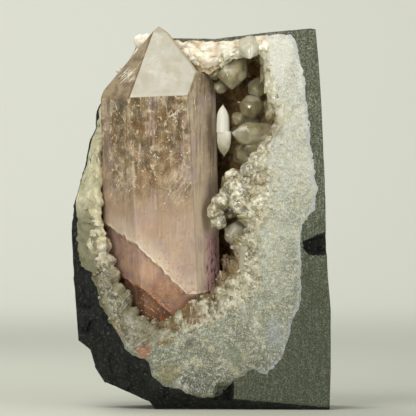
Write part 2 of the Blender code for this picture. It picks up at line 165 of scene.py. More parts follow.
# %% Faces of a ringed surface
def ring_faces(rows, columns):
    """Quads of a grid whose last column joins the first, as rows of four point numbers."""
    i, j = np.meshgrid(np.arange(rows - 1), np.arange(columns), indexing="ij")
    after = (j + 1) % columns
    corners = (i * columns + j, i * columns + after, (i + 1) * columns + after, (i + 1) * columns + j)
    return np.stack(corners, axis=-1).reshape(-1, 4)


def cap_faces(pole, start, columns):
    """Triangles from one pole to a ring that starts at that point number."""
    here = np.arange(columns)
    return np.column_stack([np.full(columns, pole), start + (here + 1) % columns, start + here])


def enclosed(points, triangles):
    """Six times the volume inside closed triangles: the sum of each one's triple product."""
    a, b, c = points[triangles[:, 0]], points[triangles[:, 1]], points[triangles[:, 2]]
    return np.sum(a * np.cross(b, c))


def rings_to_surface(rings):
    """Points, quads and triangles of a closed surface through rings of shape (rows, columns, 3)."""
    rows, columns = rings.shape[:2]
    poles = np.stack([rings[0].mean(axis=0), rings[-1].mean(axis=0)])
    points = np.vstack([rings.reshape(-1, 3), poles])
    quads = ring_faces(rows, columns)
    first = cap_faces(rows * columns, 0, columns)
    last = cap_faces(rows * columns + 1, (rows - 1) * columns, columns)[:, ::-1]
    triangles = np.vstack([first, last])
    halves = np.vstack([quads[:, [0, 1, 2]], quads[:, [0, 2, 3]], triangles])
    if enclosed(points, halves) < 0:
        quads, triangles = quads[:, ::-1], triangles[:, ::-1]
    return points, quads, triangles


print("three rings of four points make", len(ring_faces(3, 4)), "quads")

# %% [markdown]
# A piece may bring numbers for its points, kept as attributes for its material. It is shaded smooth all over,
# smooth but for edges sharper than an angle in degrees, or flat, at nought.

# %% From arrays to objects
MESH_TOTALS = {}


def mesh_object(name, points, quads, triangles, values=None, sharp=None):
    """A mesh object from arrays. values are numbers for each point, kept as attributes for the shaders."""
    mesh = bpy.data.meshes.new(name)
    mesh.vertices.add(len(points))
    mesh.vertices.foreach_set("co", (points * MM).astype(np.float32).ravel())
    corners = np.concatenate([quads.ravel(), triangles.ravel()]).astype(np.int32)
    sizes = np.concatenate([np.full(len(quads), 4), np.full(len(triangles), 3)])
    mesh.loops.add(len(corners))
    mesh.loops.foreach_set("vertex_index", corners)
    mesh.polygons.add(len(sizes))
    mesh.polygons.foreach_set("loop_start", (np.cumsum(sizes) - sizes).astype(np.int32))
    mesh.update(calc_edges=True)
    mesh.validate()
    for key, numbers in (values or {}).items():
        attribute = mesh.attributes.new(key, "FLOAT", "POINT")
        attribute.data.foreach_set("value", np.asarray(numbers, np.float32).ravel())
    if sharp is None:
        mesh.shade_smooth()
    elif sharp > 0:
        mesh.shade_smooth()
        mesh.set_sharp_from_angle(angle=math.radians(sharp))
    piece = bpy.data.objects.new(name, mesh)
    bpy.context.scene.collection.objects.link(piece)
    MESH_TOTALS[name] = 2 * len(quads) + len(triangles)
    print(f"{name}: {MESH_TOTALS[name]} triangles")
    return piece


def piece_from_rings(name, rings, values=None, sharp=None):
    """One closed piece. Each value has the shape (rows, columns), and the two end points get 0."""
    points, quads, triangles = rings_to_surface(rings)
    flat = {key: np.append(np.ravel(number), [0, 0]) for key, number in (values or {}).items()}
    return mesh_object(name, points, quads, triangles, flat, sharp)


def piece_from_many(name, bodies, values=None, sharp=None):
    """One object from many ring arrays. values gives each body a number, or one for each of its points."""
    parts = [rings_to_surface(rings) for rings in bodies]
    starts = np.cumsum([0] + [len(points) for points, _, _ in parts[:-1]])
    points = np.vstack([points for points, _, _ in parts])
    quads = np.vstack([quads + start for (_, quads, _), start in zip(parts, starts)])
    triangles = np.vstack([faces + start for (_, _, faces), start in zip(parts, starts)])
    spread = {}
    for key, numbers in (values or {}).items():
        own = [np.append(np.broadcast_to(n, rings.shape[:2]), [0, 0]) for n, rings in zip(numbers, bodies)]
        spread[key] = np.concatenate(own)
    return mesh_object(name, points, quads, triangles, spread, sharp)


print("pieces so far:", len(MESH_TOTALS))

# %% [markdown]
# ## Shader sums
#
# A procedural material is mostly arithmetic on masks. This class wraps one output socket, so that `1 - mask *
# 0.5` adds the Math nodes for it.


# %% Colours, and a socket to calculate with
def srgb(red, green, blue):
    """The linear colour of three screen values from 0 to 255."""
    shares = np.array([red, green, blue]) / 255
    linear = np.where(shares > 0.04045, ((shares + 0.055) / 1.055) ** 2.4, shares / 12.92)
    return tuple(float(v) for v in linear)


def colour(value):
    """A colour for a node's input: a Socket as it is, or three screen values made linear, and a fourth
    number."""
    return value if isinstance(value, Socket) else (*srgb(*value), 1.0)


class Socket:
    """One output of a node. Sums with numbers or with other sockets add Math nodes."""

    def __init__(self, finish, output):
        self.finish = finish
        self.output = output

    def math(self, operation, *values):
        return self.finish.add("ShaderNodeMath", {"operation": operation}, dict(enumerate(values)))

    def __add__(self, other):
        return self.math("ADD", self, other)

    def __sub__(self, other):
        return self.math("SUBTRACT", self, other)

    def __rsub__(self, other):
        return self.math("SUBTRACT", other, self)

    def __mul__(self, other):
        return self.math("MULTIPLY", self, other)

    __radd__ = __add__
    __rmul__ = __mul__

    def between(self, low, high):
        """0 where this is at low, 1 where it is at high, and smooth between. High may be the smaller."""
        settings = {"interpolation_type": "SMOOTHSTEP"}
        return self.finish.add("ShaderNodeMapRange", settings, {0: self, 1: low, 2: high})

    def coat(self, share, tint):
        """This colour with a share of another one over it."""
        return self.finish.mix(share, self, tint)


print("middle grey on the screen is", round(srgb(128, 128, 128)[0], 3), "in linear light")

# %% [markdown]
# A finish is one material. Any node comes from one method, `add`, which takes its type, its settings and the
# values or links of its sockets.


# %% A material to put nodes in
class Finish:
    """One material: its node tree, and the places that its patterns are laid out by."""

    def __init__(self, name):
        self.material = bpy.data.materials.new(name)
        self.material.use_nodes = True
        self.tree = self.material.node_tree
        self.tree.nodes.clear()
        self.place = self.add("ShaderNodeTexCoord", {}, {}, "Object")
        parted = self.add("ShaderNodeSeparateXYZ", {}, {0: self.place})
        self.x, self.y, self.z = (Socket(self, output) for output in parted.output.node.outputs)

    def add(self, kind, settings, sockets, output=0):
        """Adds a node. The setting `stops` fills a colour ramp."""
        node = self.tree.nodes.new(kind)
        for key, value in settings.items():
            if key == "stops":
                self.fill_ramp(node.color_ramp, value)
            else:
                setattr(node, key, value)
        for key, value in sockets.items():
            if isinstance(value, Socket):
                self.tree.links.new(value.output, node.inputs[key])
            else:
                node.inputs[key].default_value = value
        return Socket(self, node.outputs[output])

    def fill_ramp(self, ramp, stops):
        while len(ramp.elements) < len(stops):
            ramp.elements.new(0.5)
        for element, (position, tint) in zip(ramp.elements, stops):
            element.position = position
            element.color = colour(tint)

    def noise(self, size, detail=3.0, stretch=(1, 1, 1), roughness=0.5, turn=0.0):
        """Noise from 0 to 1 with lumps of that many millimetres, drawn out along the axes after a turn about
        Y."""
        place = self.place
        if turn:
            place = self.add("ShaderNodeMapping", {}, {"Vector": place, "Rotation": (0, turn, 0)})
        scaled = self.add("ShaderNodeMapping", {}, {"Vector": place, "Scale": stretch})
        inputs = {"Vector": scaled, "Scale": 1 / (size * MM), "Detail": detail, "Roughness": roughness}
        return self.add("ShaderNodeTexNoise", {}, inputs)

    def value(self, name):
        """A number that numpy worked out for every point of the mesh."""
        return self.add("ShaderNodeAttribute", {"attribute_name": name}, {}, "Fac")

    def ramp(self, value, stops):
        return self.add("ShaderNodeValToRGB", {"stops": stops}, {0: value}, "Color")

    def mix(self, share, first, second):
        sockets = {0: share, 6: colour(first), 7: colour(second)}
        return self.add("ShaderNodeMix", {"data_type": "RGBA"}, sockets, 2)

    def bump(self, height, depth):
        """A normal tilted by a height from 0 to 1 that stands for that many millimetres."""
        return self.add("ShaderNodeBump", {}, {"Height": height, "Distance": depth * MM, "Strength": 1.0})

    def principled(self, inputs):
        return self.add("ShaderNodeBsdfPrincipled", {}, inputs)

    def blend(self, share, first, second):
        """Two surfaces mixed, with that share of the second."""
        return self.add("ShaderNodeMixShader", {}, {0: share, 1: first, 2: second})

    def output(self, surface, volume=None):
        node = self.tree.nodes.new("ShaderNodeOutputMaterial")
        self.tree.links.new(surface.output, node.inputs["Surface"])
        if volume:
            self.tree.links.new(volume.output, node.inputs["Volume"])
        return self.material


print("a finish can add:", ", ".join(name for name in vars(Finish) if not name.startswith("__")))

# %% [markdown]
# ## The hub and the outlines
#
# Seen from the front, the block, its lining and the hollow are three outlines round one hub, so each is a
# distance for every direction. Directions run through every corner of the block.

# %% Driving sizes and outlines, in millimetres
HUB = (0.0, 52.0)
FACE_Y = -14.0
LINING_BACK_Y = 21.5
HOLLOW_BACK_Y = 18.0
DIRECTIONS = 560

BLOCK_OUTLINE = [
    (31.3, 102.9), (32.1, 94.5), (32.9, 82.4), (33.8, 62.1), (34.1, 48.0), (34.6, 36.5),
    (35.4, 27.0), (35.4, 10.8), (35.1, 0.0), (-12.2, 0.0), (-13.8, 1.9), (-21.3, 5.1), (-25.9, 7.0),
    (-28.6, 11.3), (-30.0, 15.9), (-33.2, 18.4), (-34.0, 28.9), (-34.8, 40.0), (-35.2, 48.6),
    (-34.6, 54.8), (-33.5, 59.4), (-31.6, 66.2), (-30.5, 72.4), (-28.6, 76.4), (-28.4, 81.5),
    (-27.0, 83.8), (-24.3, 88.0), (-20.3, 93.8), (-18.0, 98.0), (-16.8, 101.8), (-6.8, 101.1),
    (4.1, 100.7), (10.8, 101.3), (16.7, 102.1), (24.3, 102.6), (30.0, 103.2),
]
LINING_OUTLINE = [
    (25.1, 100.4), (26.2, 98.6), (28.1, 89.9), (29.2, 79.7), (30.5, 68.3), (31.6, 59.4), (31.3, 54.5),
    (27.4, 49.9), (27.3, 44.6), (27.5, 36.5), (27.2, 30.1), (25.1, 23.4), (22.4, 14.3), (17.8, 9.5),
    (14.3, 10.8), (9.3, 8.1), (5.1, 3.6), (0.8, 2.9), (-4.9, 5.4), (-8.9, 5.7), (-13.0, 9.7),
    (-14.0, 13.0), (-19.7, 15.7), (-22.4, 20.3), (-26.7, 28.1), (-29.3, 37.0), (-32.7, 38.9),
    (-33.5, 44.6), (-32.9, 56.7), (-31.0, 66.2), (-28.5, 75.0), (-26.6, 85.9), (-17.9, 98.0),
    (-14.0, 101.1), (-6.8, 100.2), (4.1, 99.8), (10.8, 100.4), (24.3, 101.7),
]
HOLLOW_OUTLINE = [
    (18.2, 92.6), (17.8, 89.0), (18.9, 85.6), (21.3, 82.1), (21.6, 78.3), (20.2, 74.2), (16.7, 70.2),
    (15.9, 66.7), (17.8, 63.2), (17.8, 58.0), (16.5, 54.8), (14.6, 51.8), (12.4, 45.9), (13.2, 42.7),
    (13.2, 38.6), (11.6, 35.1), (8.1, 32.7), (3.8, 30.0), (-4.9, 25.9), (-9.2, 23.8), (-14.6, 20.3),
    (-17.8, 21.3), (-20.5, 24.3), (-23.0, 28.9), (-26.2, 38.9), (-27.3, 56.7), (-27.6, 75.6),
    (-25.6, 85.5), (-17.8, 96.0), (-14.6, 98.4), (-9.0, 98.4), (-4.0, 95.4), (0.5, 92.4), (5.9, 93.1),
    (9.6, 95.0), (10.4, 98.6), (14.8, 98.9), (18.0, 96.2),
]
LEAST_LINING = 1.3  # the least width of white between hollow and rock
LEAST_ROCK = 1.2  # the least width of rock round the lining
FLARE = [(-180, 1.4), (-110, 4.4), (-70, 5.4), (-35, 3.0), (0, 2.2), (60, 1.8), (90, 1.4), (180, 1.4)]
FLARE_DEPTH = 1.1
EASE_STEPS = 6  # how many directions either side the hollow's corners are eased over
print("corners of block, lining and hollow:", len(BLOCK_OUTLINE), len(LINING_OUTLINE), len(HOLLOW_OUTLINE))

# %% [markdown]
# Each outline becomes one array of distances. The hollow is eased and rippled, and it widens towards the
# front in a flare, so that its mouth is larger than its throat.


# %% Distances from the hub
def corners_of(outline):
    """The direction and distance of each corner of an outline from the hub, in order of direction."""
    away = np.array(outline) - HUB
    angle, far = np.arctan2(away[:, 1], away[:, 0]), np.hypot(away[:, 0], away[:, 1])
    order = np.argsort(angle)
    return angle[order], far[order]


def directions(outline, count):
    """One direction for each corner, and even steps between neighbouring corners."""
    corner, _ = corners_of(outline)
    gap = np.diff(np.append(corner, corner[0] + math.tau))
    steps = np.maximum(1, np.round(gap / math.tau * count)).astype(int)
    return np.concatenate([a + g * np.arange(n) / n for a, g, n in zip(corner, gap, steps)])


def reach(outline, angle):
    """Distance from the hub to an outline of straight lines: with the two corners at distances p and q, a
    total angle s between them and parts a and b of it on either side, that is p*q*sin(s) / (p*sin(a) +
    q*sin(b))."""
    corner, far = corners_of(outline)
    corner = np.concatenate([corner[-1:] - math.tau, corner, corner[:1] + math.tau])
    far = np.concatenate([far[-1:], far, far[:1]])
    turned = (angle + math.pi) % math.tau - math.pi
    k = np.clip(np.searchsorted(corner, turned, side="right") - 1, 0, len(corner) - 2)
    before, after, span = turned - corner[k], corner[k + 1] - turned, corner[k + 1] - corner[k]
    return far[k] * far[k + 1] * np.sin(span) / (far[k] * np.sin(before) + far[k + 1] * np.sin(after))


THETA = directions(BLOCK_OUTLINE, DIRECTIONS)
BLOCK = reach(BLOCK_OUTLINE, THETA)
LINING = np.minimum(reach(LINING_OUTLINE, THETA), BLOCK - LEAST_ROCK)
flare_turn = np.degrees((THETA + math.pi) % math.tau - math.pi)
flare = np.interp(flare_turn, [a for a, _ in FLARE], [w for _, w in FLARE])
circle = np.stack([30 * np.cos(THETA), 0 * THETA, 30 * np.sin(THETA)], axis=-1)
ripple = 0.8 * noise(circle, 3.3, 50) + 0.5 * noise(circle, 1.3, 51)
weights = {k: EASE_STEPS + 1 - abs(k) for k in range(-EASE_STEPS, EASE_STEPS + 1)}
eased = sum(w * np.roll(reach(HOLLOW_OUTLINE, THETA), k) for k, w in weights.items()) / (EASE_STEPS + 1) ** 2
HOLLOW = np.minimum(eased + ripple, LINING - LEAST_LINING - flare * 0.5)
MOUTH = np.minimum(HOLLOW + flare, LINING - LEAST_LINING)
THROAT = FACE_Y + FLARE_DEPTH * (MOUTH - HOLLOW)
print(f"{len(THETA)} directions, hollow {HOLLOW.min():.1f} to {HOLLOW.max():.1f} mm from the hub")

# %% [markdown]
# ## How deep the front lies
#
# The front is one sawn plane, broken away along four slanting planes at the left and along the foot, and the
# surface is the deepest of them. A chip and a pit are holes with flat sides.

# %% The front, the holes in it and the back
BROKEN_FRONT = [(-34.7, -0.90, 0.0), (-21.0, -0.88, -0.705), (-37.5, -0.54, 0.343), (-9.6, -0.10, -1.10)]
CHIP_SIDES = [(-2.6, 1.2, 0), (-1.9, 0.9, -1.7), (0, 0.8, -2.4), (-0.8, 0.5, 2.0), (-1, 3.2, 0)]
CHIP = ((30.9, FACE_Y, 44.4), CHIP_SIDES)
PIT_SIDES = [(-2.2, 0.6, 0.6), (2.2, 0.7, 0), (0.2, 0.9, 1.8), (0, 0.4, -2.6), (0, 3.0, 0.3)]
PIT = ((6.4, FACE_Y, 4.9), PIT_SIDES)
BACK_FACETS = [
    ((0.0, 27.0, 50.0), (0.05, 1.0, -0.06)),
    ((-31.0, 18.0, 50.0), (-0.75, 0.65, 0.05)),
    ((-25.0, 24.0, 82.0), (-0.45, 0.75, 0.35)),
    ((30.0, 22.5, 60.0), (0.55, 0.83, 0.08)),
    ((24.0, 24.5, 25.0), (0.32, 0.92, -0.20)),
    ((10.0, 23.0, 95.0), (0.12, 0.80, 0.60)),
    ((-18.0, 25.0, 18.0), (-0.42, 0.80, -0.42)),
    ((12.0, 26.3, 74.0), (0.16, 0.97, 0.20)),
    ((-8.0, 26.6, 38.0), (-0.15, 0.98, -0.15)),
    ((5.0, 23.0, 4.0), (0.0, 0.85, -0.52)),
]
SOFT_EDGE = 0.5  # how widely neighbouring broken planes are blended


def front_depth(x, z):
    """The sawn plane or the deepest of the broken planes y = a + b*x + c*z."""
    y = np.full(x.shape, FACE_Y)
    for a, b, c in BROKEN_FRONT:
        y = -soft_min(-y, -(a + b * x + c * z), SOFT_EDGE)
    return y


def front_at(x, z):
    """The depth of the front at a single place."""
    return float(front_depth(np.array(x), np.array(z)))


def hole_depth(x, z, place, sides):
    """Depth at which a hole's first side is met. A side whose nearest point is s away holds all points p with
    s . (p - place) = s . s."""
    depths = []
    for sx, sy, sz in sides:
        reached = sx * sx + sy * sy + sz * sz - sx * (x - place[0]) - sz * (z - place[2])
        depths.append(place[1] + reached / sy)
    return np.min(depths, axis=0)


def pit_depth(points):
    """Depth of the pit in the foot, with small slopes on its sides. Both the rock and the lining have a
    part."""
    return hole_depth(points[..., 0], points[..., 2], *PIT) + 0.5 * facets(points, 1.5, 4)[0]


def back_depth(x, z):
    """The nearest of the flat facets of the broken back."""
    y = np.full(x.shape, 40.0)
    for (px, py, pz), (nx, ny, nz) in BACK_FACETS:
        y = soft_min(y, py - (nx * (x - px) + nz * (z - pz)) / ny, SOFT_EDGE)
    return y


def around_hub(radius, depth):
    """Points at a distance from the hub in every direction, for each row, at that depth."""
    x, z = HUB[0] + radius * np.cos(THETA), HUB[1] + radius * np.sin(THETA)
    return np.stack([x, np.broadcast_to(depth, x.shape), z], axis=-1)


def bowl(radius, rim_depth, deepest, rows):
    """Rings of a bowl, from near the middle to just inside the rim. In section it is the rounded square
    (r/R)**4 + (d/D)**4 = 1."""
    turn = (np.arange(1, rows + 1) / (rows + 1) * math.pi / 2)[:, None]
    share, drop = np.sin(turn) ** 0.5, np.cos(turn) ** 0.5
    return around_hub(radius * share, rim_depth + (deepest - rim_depth) * drop)


print(f"{len(BROKEN_FRONT)} broken planes in front, {len(BACK_FACETS)} behind")

# %% [markdown]
# ## The basalt
#
# The rock is a closed skin: down into the socket for the lining, out over the front, along the sides and in
# over the back. Sawn parts stay flat. Broken parts get slopes and hackle, and nicks run along every edge.
# Next to the lining the relief only goes inwards, so that the skins never cross.


# %% Front of the basalt
OUTWARDS = np.stack([np.cos(THETA), np.zeros_like(THETA), np.sin(THETA)], axis=-1)
FRONT_ROWS, SIDE_ROWS, BACK_ROWS = 64, 54, 46
RIM_TOP = 101.0  # above this height a front or a side is the unsawn top


def edge_nicks():
    """How far the sawn edge is worn back in every direction: shallow dents and a few deeper ones."""
    along_edge = around_hub(BLOCK[None], FACE_Y)
    shallow = 0.22 * np.clip(noise(along_edge, 1.9, 4)[0], 0, 1)
    return shallow + 0.5 * step_up(0.45, 0.9, noise(along_edge, 3.4, 5)[0])


def basalt_front(inner, nick):
    """Rings from the lining out to the edge, and how sawn each place is: 1 on the cut, 0 where it is
    broken."""
    share = np.linspace(0, 1, FRONT_ROWS)[:, None]
    radius = inner + (BLOCK - 0.2 - nick - inner) * share
    front = around_hub(radius, FACE_Y)
    x, z = front[..., 0], front[..., 2]
    plain = front_depth(x, z)
    split = step_up(9.5, 7.5, x + 0.5 * noise(front, 2.0, 3)) * step_up(46, 40, z)
    broken = np.maximum(step_up(0.05, 0.8, plain - FACE_Y), split)
    near = step_up(2.2, 0.5, radius - LINING)
    slopes, _ = facets(front, 4.6, 1)
    hackle, _ = facets(front, 1.8, 2)
    relief = 0.75 * slopes + 0.28 * hackle + 0.35 * rough(front, 2.6, 4, 2)
    relief = np.clip(relief, -0.45 * (1 - near), 1.2 - 0.5 * near)
    flat = 0.03 * rough(front, 0.8, 2, 5) - 0.03
    chip = hole_depth(x, z, *CHIP) + 0.45 * facets(front, 1.7, 3)[0]
    hole = np.maximum(chip, pit_depth(front))
    under = 1.2 * np.clip(LINING - radius - 0.3, 0, 1)
    depth = plain + 0.07 + under + broken * (relief + 0.06 * near) + (1 - broken) * flat
    front[..., 1] = np.maximum(depth, hole)
    sawn = step_up(0.3, 0.0, np.maximum(hole - plain, 0) + broken)
    return front, np.maximum(sawn, step_up(RIM_TOP - 1.8, RIM_TOP - 1.0, z))


print("deepest nick in the edge:", round(float(edge_nicks().max()), 2), "mm")

# %% [markdown]
# The sides are drawn in by a fiftieth. The right side is sawn too and nearly flat, the left side and the top
# are rugged, and the back is broken all over.


# %% Sides and back of the basalt
def basalt_sides(edge, nick):
    """Rings from the front edge to the edge of the back."""
    along = (np.linspace(0, 1, SIDE_ROWS)[1:, None]) ** 1.15
    end = around_hub(BLOCK[None] * 0.98, 0)
    back_edge = np.maximum(back_depth(end[..., 0], end[..., 2]), edge + 2)
    worn = (0.2 + nick) * np.exp(-along * 45)
    sides = around_hub(BLOCK * (1 - 0.02 * along) - worn, edge + (back_edge - edge) * along)
    rugged = np.clip(0.5 - sides[..., 0] / 16, 0.2, 1)
    rugged = np.maximum(rugged, 0.8 * step_up(97, RIM_TOP, sides[..., 2])) * step_up(0, 0.12, along)
    slopes, _ = facets(sides, 6.5, 6)
    hackle, _ = facets(sides, 2.4, 7)
    push = rugged * (0.9 * slopes + 0.3 * hackle + 0.6 * rough(sides, 5.0, 4, 7) + 0.5)
    return sides - OUTWARDS * np.clip(push, -0.2, 3.0)[..., None]


def basalt_back(last_side):
    """Rings from the edge of the back in to its middle."""
    inwards = (1 - np.linspace(0, 1, BACK_ROWS)[1:-1, None]) ** 0.9
    back = around_hub(np.hypot(last_side[:, 0] - HUB[0], last_side[:, 2] - HUB[1]) * inwards, 0)
    slopes, _ = facets(back, 7.5, 8)
    hackle, _ = facets(back, 2.6, 9)
    fade = step_up(1.0, 0.93, inwards)
    relief = fade * (1.1 * slopes + 0.3 * hackle + 0.8 * rough(back, 6.0, 5, 9) + 0.8)
    depth = back_depth(back[..., 0], back[..., 2])
    back[..., 1] = depth + (last_side[:, 1] - depth) * (1 - fade) - np.clip(relief, 0, 3)
    return back


def make_basalt():
    """The block: rings of socket, front, sides and back, with a level base."""
    inner = LINING - np.minimum(1.0, 0.5 * (LINING - MOUTH))
    nick = edge_nicks()
    socket = bowl(inner, FACE_Y + 6, LINING_BACK_Y - 1.2, 6)
    front, front_sawn = basalt_front(inner, nick)
    sides = basalt_sides(front[-1, :, 1], nick)
    rings = np.concatenate([socket, front, sides, basalt_back(sides[-1])])
    in_front = slice(len(socket), len(socket) + len(front))
    in_sides = slice(in_front.stop, in_front.stop + len(sides))
    on_base = around_hub(BLOCK[None], 0)[0, :, 2] < 0.01
    rings[in_sides, on_base, 2] = 0.0
    rings[..., 2] = np.maximum(rings[..., 2], 0.0)
    top = step_up(RIM_TOP + 0.8, RIM_TOP - 0.4, sides[..., 2] + 0.5 * noise(sides, 4.0, 10))
    sawn = np.zeros(rings.shape[:2])
    sawn[in_front] = front_sawn
    sawn[in_sides] = np.maximum(step_up(24, 31, sides[..., 0]) * top, on_base)
    return piece_from_rings("rock", rings, {"sawn": sawn}, sharp=32)


rock = make_basalt()

# %% [markdown]
# ## The lining
#
# The lining is cut flush with the rock and a little open between its grains. At the top left it is not sawn
# but covered in rounded lumps, and at the left it broke along its fibres. Its outer edge wanders over the
# rock, at the top left almost to the rim.

# %% Front of the lining
FACE_ROWS, FLARE_ROWS, WALL_ROWS = 100, 12, 22
TO_RIM = [
    (0, 0), (58, 0), (66, 0.2), (100, 0.2), (108, 2.0),
    (124, 1.2), (150, 1.2), (172, 1.0), (180, 0), (360, 0),
]


def lining_edge():
    """How far the white reaches in every direction, with a rind of rock of changing width left outside it."""
    outline = around_hub(LINING[None], FACE_Y)
    ragged = noise(outline, 1.3, 2)[0] + 0.8 * noise(outline, 4.0, 3)[0] + 0.6 * noise(outline, 0.6, 6)[0]
    to_rim = np.interp(np.degrees(THETA) % 360, *zip(*TO_RIM))
    rind = 0.3 + 0.9 * np.clip(noise(outline, 2.6, 8)[0] + 0.1, 0, 1)
    return np.minimum(LINING + 0.42 * ragged + to_rim, BLOCK - rind)


def lining_front(front, inside_edge):
    """Depth of the front, where it is lumpy, and the grooves between the lumps."""
    x, z = front[..., 0], front[..., 2]
    plain = front_depth(x, z)
    broken = step_up(0.05, 0.8, plain - FACE_Y)
    rim = step_up(0.0, 1.0, inside_edge)
    lumpy = step_up(91.5, 94.5, z + 1.2 * noise(front, 3.0, 4)) * step_up(20.0, 15.5, x)
    blocks, _ = crystal_points(front * (1, 1, 0.7) + 0.5 * noise(front, 2.0, 11)[..., None], 4.4, 11)
    small, _ = crystal_points(front, 1.7, 17)
    lumps = lumpy * (0.75 * np.minimum(blocks, 1.1) + 0.40 * small + 0.25 * rough(front, 2.0, 3, 17) - 0.15)
    fibres = broken * (0.45 * facets(front * (1, 1, 1.8), 2.4, 12)[0] + 0.35 * rough(front, 1.6, 3, 13))
    grains = 0.16 * step_up(0.20, 0.7, noise(front, 0.7, 14)) + 0.07 * rough(front, 1.1, 2, 15)
    grains = (1 - broken) * grains
    dents = (1 - broken) * 0.35 * step_up(0.45, 0.85, noise(front, 1.7, 16))
    edge_drop = 0.10 * (1 - rim) ** 2
    fibres = np.clip(fibres, -0.25 * rim, 1.2) * 0.9
    depth = plain + edge_drop - 0.05 - lumps - fibres + (grains + dents) * rim
    depth = np.minimum(depth, plain + 0.08 + 0.5 * rim)
    return np.maximum(depth, pit_depth(front)), lumpy, lumpy * step_up(0.55, 0.0, blocks)


print("the white reaches", round(float((lining_edge() - LINING).max()), 1), "mm past its plain outline")

# %% [markdown]
# Behind the front the lining is a bowl. Its inner side is the wall of the hollow, and its outer side is
# hidden in the rock.


# %% Shape of the lining
def make_lining():
    """The white body: rings from its hidden outer side over the front and down the hollow's wall."""
    outer = lining_edge()
    hidden = bowl(np.minimum(outer, LINING) - 0.6, FACE_Y + 8, LINING_BACK_Y, 6)
    radius = outer + (MOUTH - outer) * np.linspace(0, 1, FACE_ROWS)[:, None]
    front = around_hub(radius, FACE_Y)
    front[..., 1], lumpy, groove = lining_front(front, outer - radius)
    last = front[-1, :, 1]
    throat = np.maximum(THROAT, last + 0.3)
    ease = np.linspace(0, 1, FLARE_ROWS)[1:, None]
    flare_rings = around_hub(MOUTH + (HOLLOW - MOUTH) * ease, last + (throat - last) * ease**1.3)
    wall = bowl(HOLLOW, throat, HOLLOW_BACK_Y, WALL_ROWS)[::-1]
    rings = np.concatenate([hidden, front, flare_rings, wall])
    values = {"border": step_up(2.4, 0.0, outer - radius), "lumpy": lumpy, "groove": groove}
    for key, numbers in values.items():
        values[key] = np.zeros(rings.shape[:2])
        values[key][len(hidden):len(hidden) + FACE_ROWS] = numbers
    return piece_from_rings("lining", rings, values, sharp=50)


lining = make_lining()

# %% [markdown]
# ## The crust in the hollow
#
# One skin of flat-sided points, coarser inside, makes the mass of small crystals. In places it swells into
# knobs, and it spreads out over the flare with a ragged lip. It is a shell about a millimetre thick.

# %% Knobs, and the plain skin of the crust
KNOBS = [
    ((12.4, -8.4, 55.9), 4.2), ((10.4, -7.8, 58.6), 3.0), ((14.8, -9.2, 57.6), 3.0),
    ((16.9, -10.6, 58.9), 2.6), ((10.6, -7.0, 62.9), 2.8), ((13.4, -8.6, 61.4), 2.9),
    ((16.7, -10.2, 62.4), 2.6), ((17.3, -10.6, 66.2), 3.0), ((14.6, -8.6, 67.4), 2.4),
    ((19.2, -11.2, 70.0), 2.2), ((8.8, -5.0, 65.8), 2.6), ((12.2, -7.2, 65.6), 2.4),
    ((16.6, -8.0, 63.4), 3.0), ((12.4, -9.4, 52.4), 2.6), ((15.2, -10.8, 53.4), 2.6),
    ((16.8, -11.4, 50.0), 2.5), ((15.6, -11.4, 46.6), 2.4), ((15.0, -11.4, 38.6), 2.6),
    ((13.0, -11.2, 34.4), 2.8), ((9.6, -10.8, 32.4), 3.0), ((5.9, -11.0, 30.2), 2.8),
    ((1.9, -11.2, 28.4), 2.8), ((-2.0, -11.4, 26.8), 2.6), ((-5.9, -11.6, 24.4), 2.4),
    ((22.2, -13.0, 79.0), 1.8), ((20.4, -11.8, 84.4), 2.2), ((18.9, -11.4, 87.6), 2.0),
    ((20.8, -12.6, 75.6), 1.8), ((8.6, -5.4, 54.0), 3.0), ((8.6, -6.4, 60.6), 2.6),
    ((-26.8, -4.2, 44.0), 3.0), ((-26.0, -4.8, 39.6), 3.2), ((-24.8, -5.6, 35.4), 3.2),
    ((-23.2, -6.6, 31.4), 3.2), ((-21.2, -7.8, 28.0), 3.2), ((-18.8, -8.8, 25.0), 3.2),
    ((-16.2, -9.8, 22.6), 3.0), ((-13.0, -10.6, 21.4), 2.6), ((-9.6, -11.6, 21.6), 2.4),
    ((7.6, -6.0, 46.4), 3.2), ((8.4, -0.6, 38.8), 3.6), ((7.0, -1.0, 34.8), 3.0), ((18.4, -7.0, 91.4), 2.6),
    ((19.8, -6.0, 80.4), 2.4),
]
THICKNESS = np.interp(np.degrees(THETA) % 360, [0, 130, 145, 205, 225, 360], [1, 1, 0.4, 0.4, 1, 1])
CRUST_WALL_ROWS, CRUST_LIP_ROWS = 96, 34


def crust_skin():
    """Rings of the crust's visible side, from the bottom of the hollow out to its lip on the front."""
    rim = around_hub(MOUTH[None], 0)
    face = front_depth(rim[..., 0], rim[..., 2])[0]
    wander = 1.7 * noise(rim, 3.1, 21)[0] + 1.0 * noise(rim, 1.1, 22)[0]
    lip = np.minimum(MOUTH + 0.9 + wander, LINING - 0.5)
    ease = np.linspace(1, 0, CRUST_LIP_ROWS)[:, None]
    inner = HOLLOW - 0.1 - 0.8 * THICKNESS
    throat = np.maximum(THROAT, face + 0.3)
    wall = bowl(inner, throat, HOLLOW_BACK_Y - 1.0, CRUST_WALL_ROWS)
    flare_rings = around_hub(lip + (inner - lip) * ease, face - 0.10 + (throat - face) * ease**1.5)
    x, z = flare_rings[..., 0], flare_rings[..., 2]
    flare_rings[..., 1] += (front_depth(x, z) - face) * (1 - ease)
    return np.concatenate([wall, flare_rings])


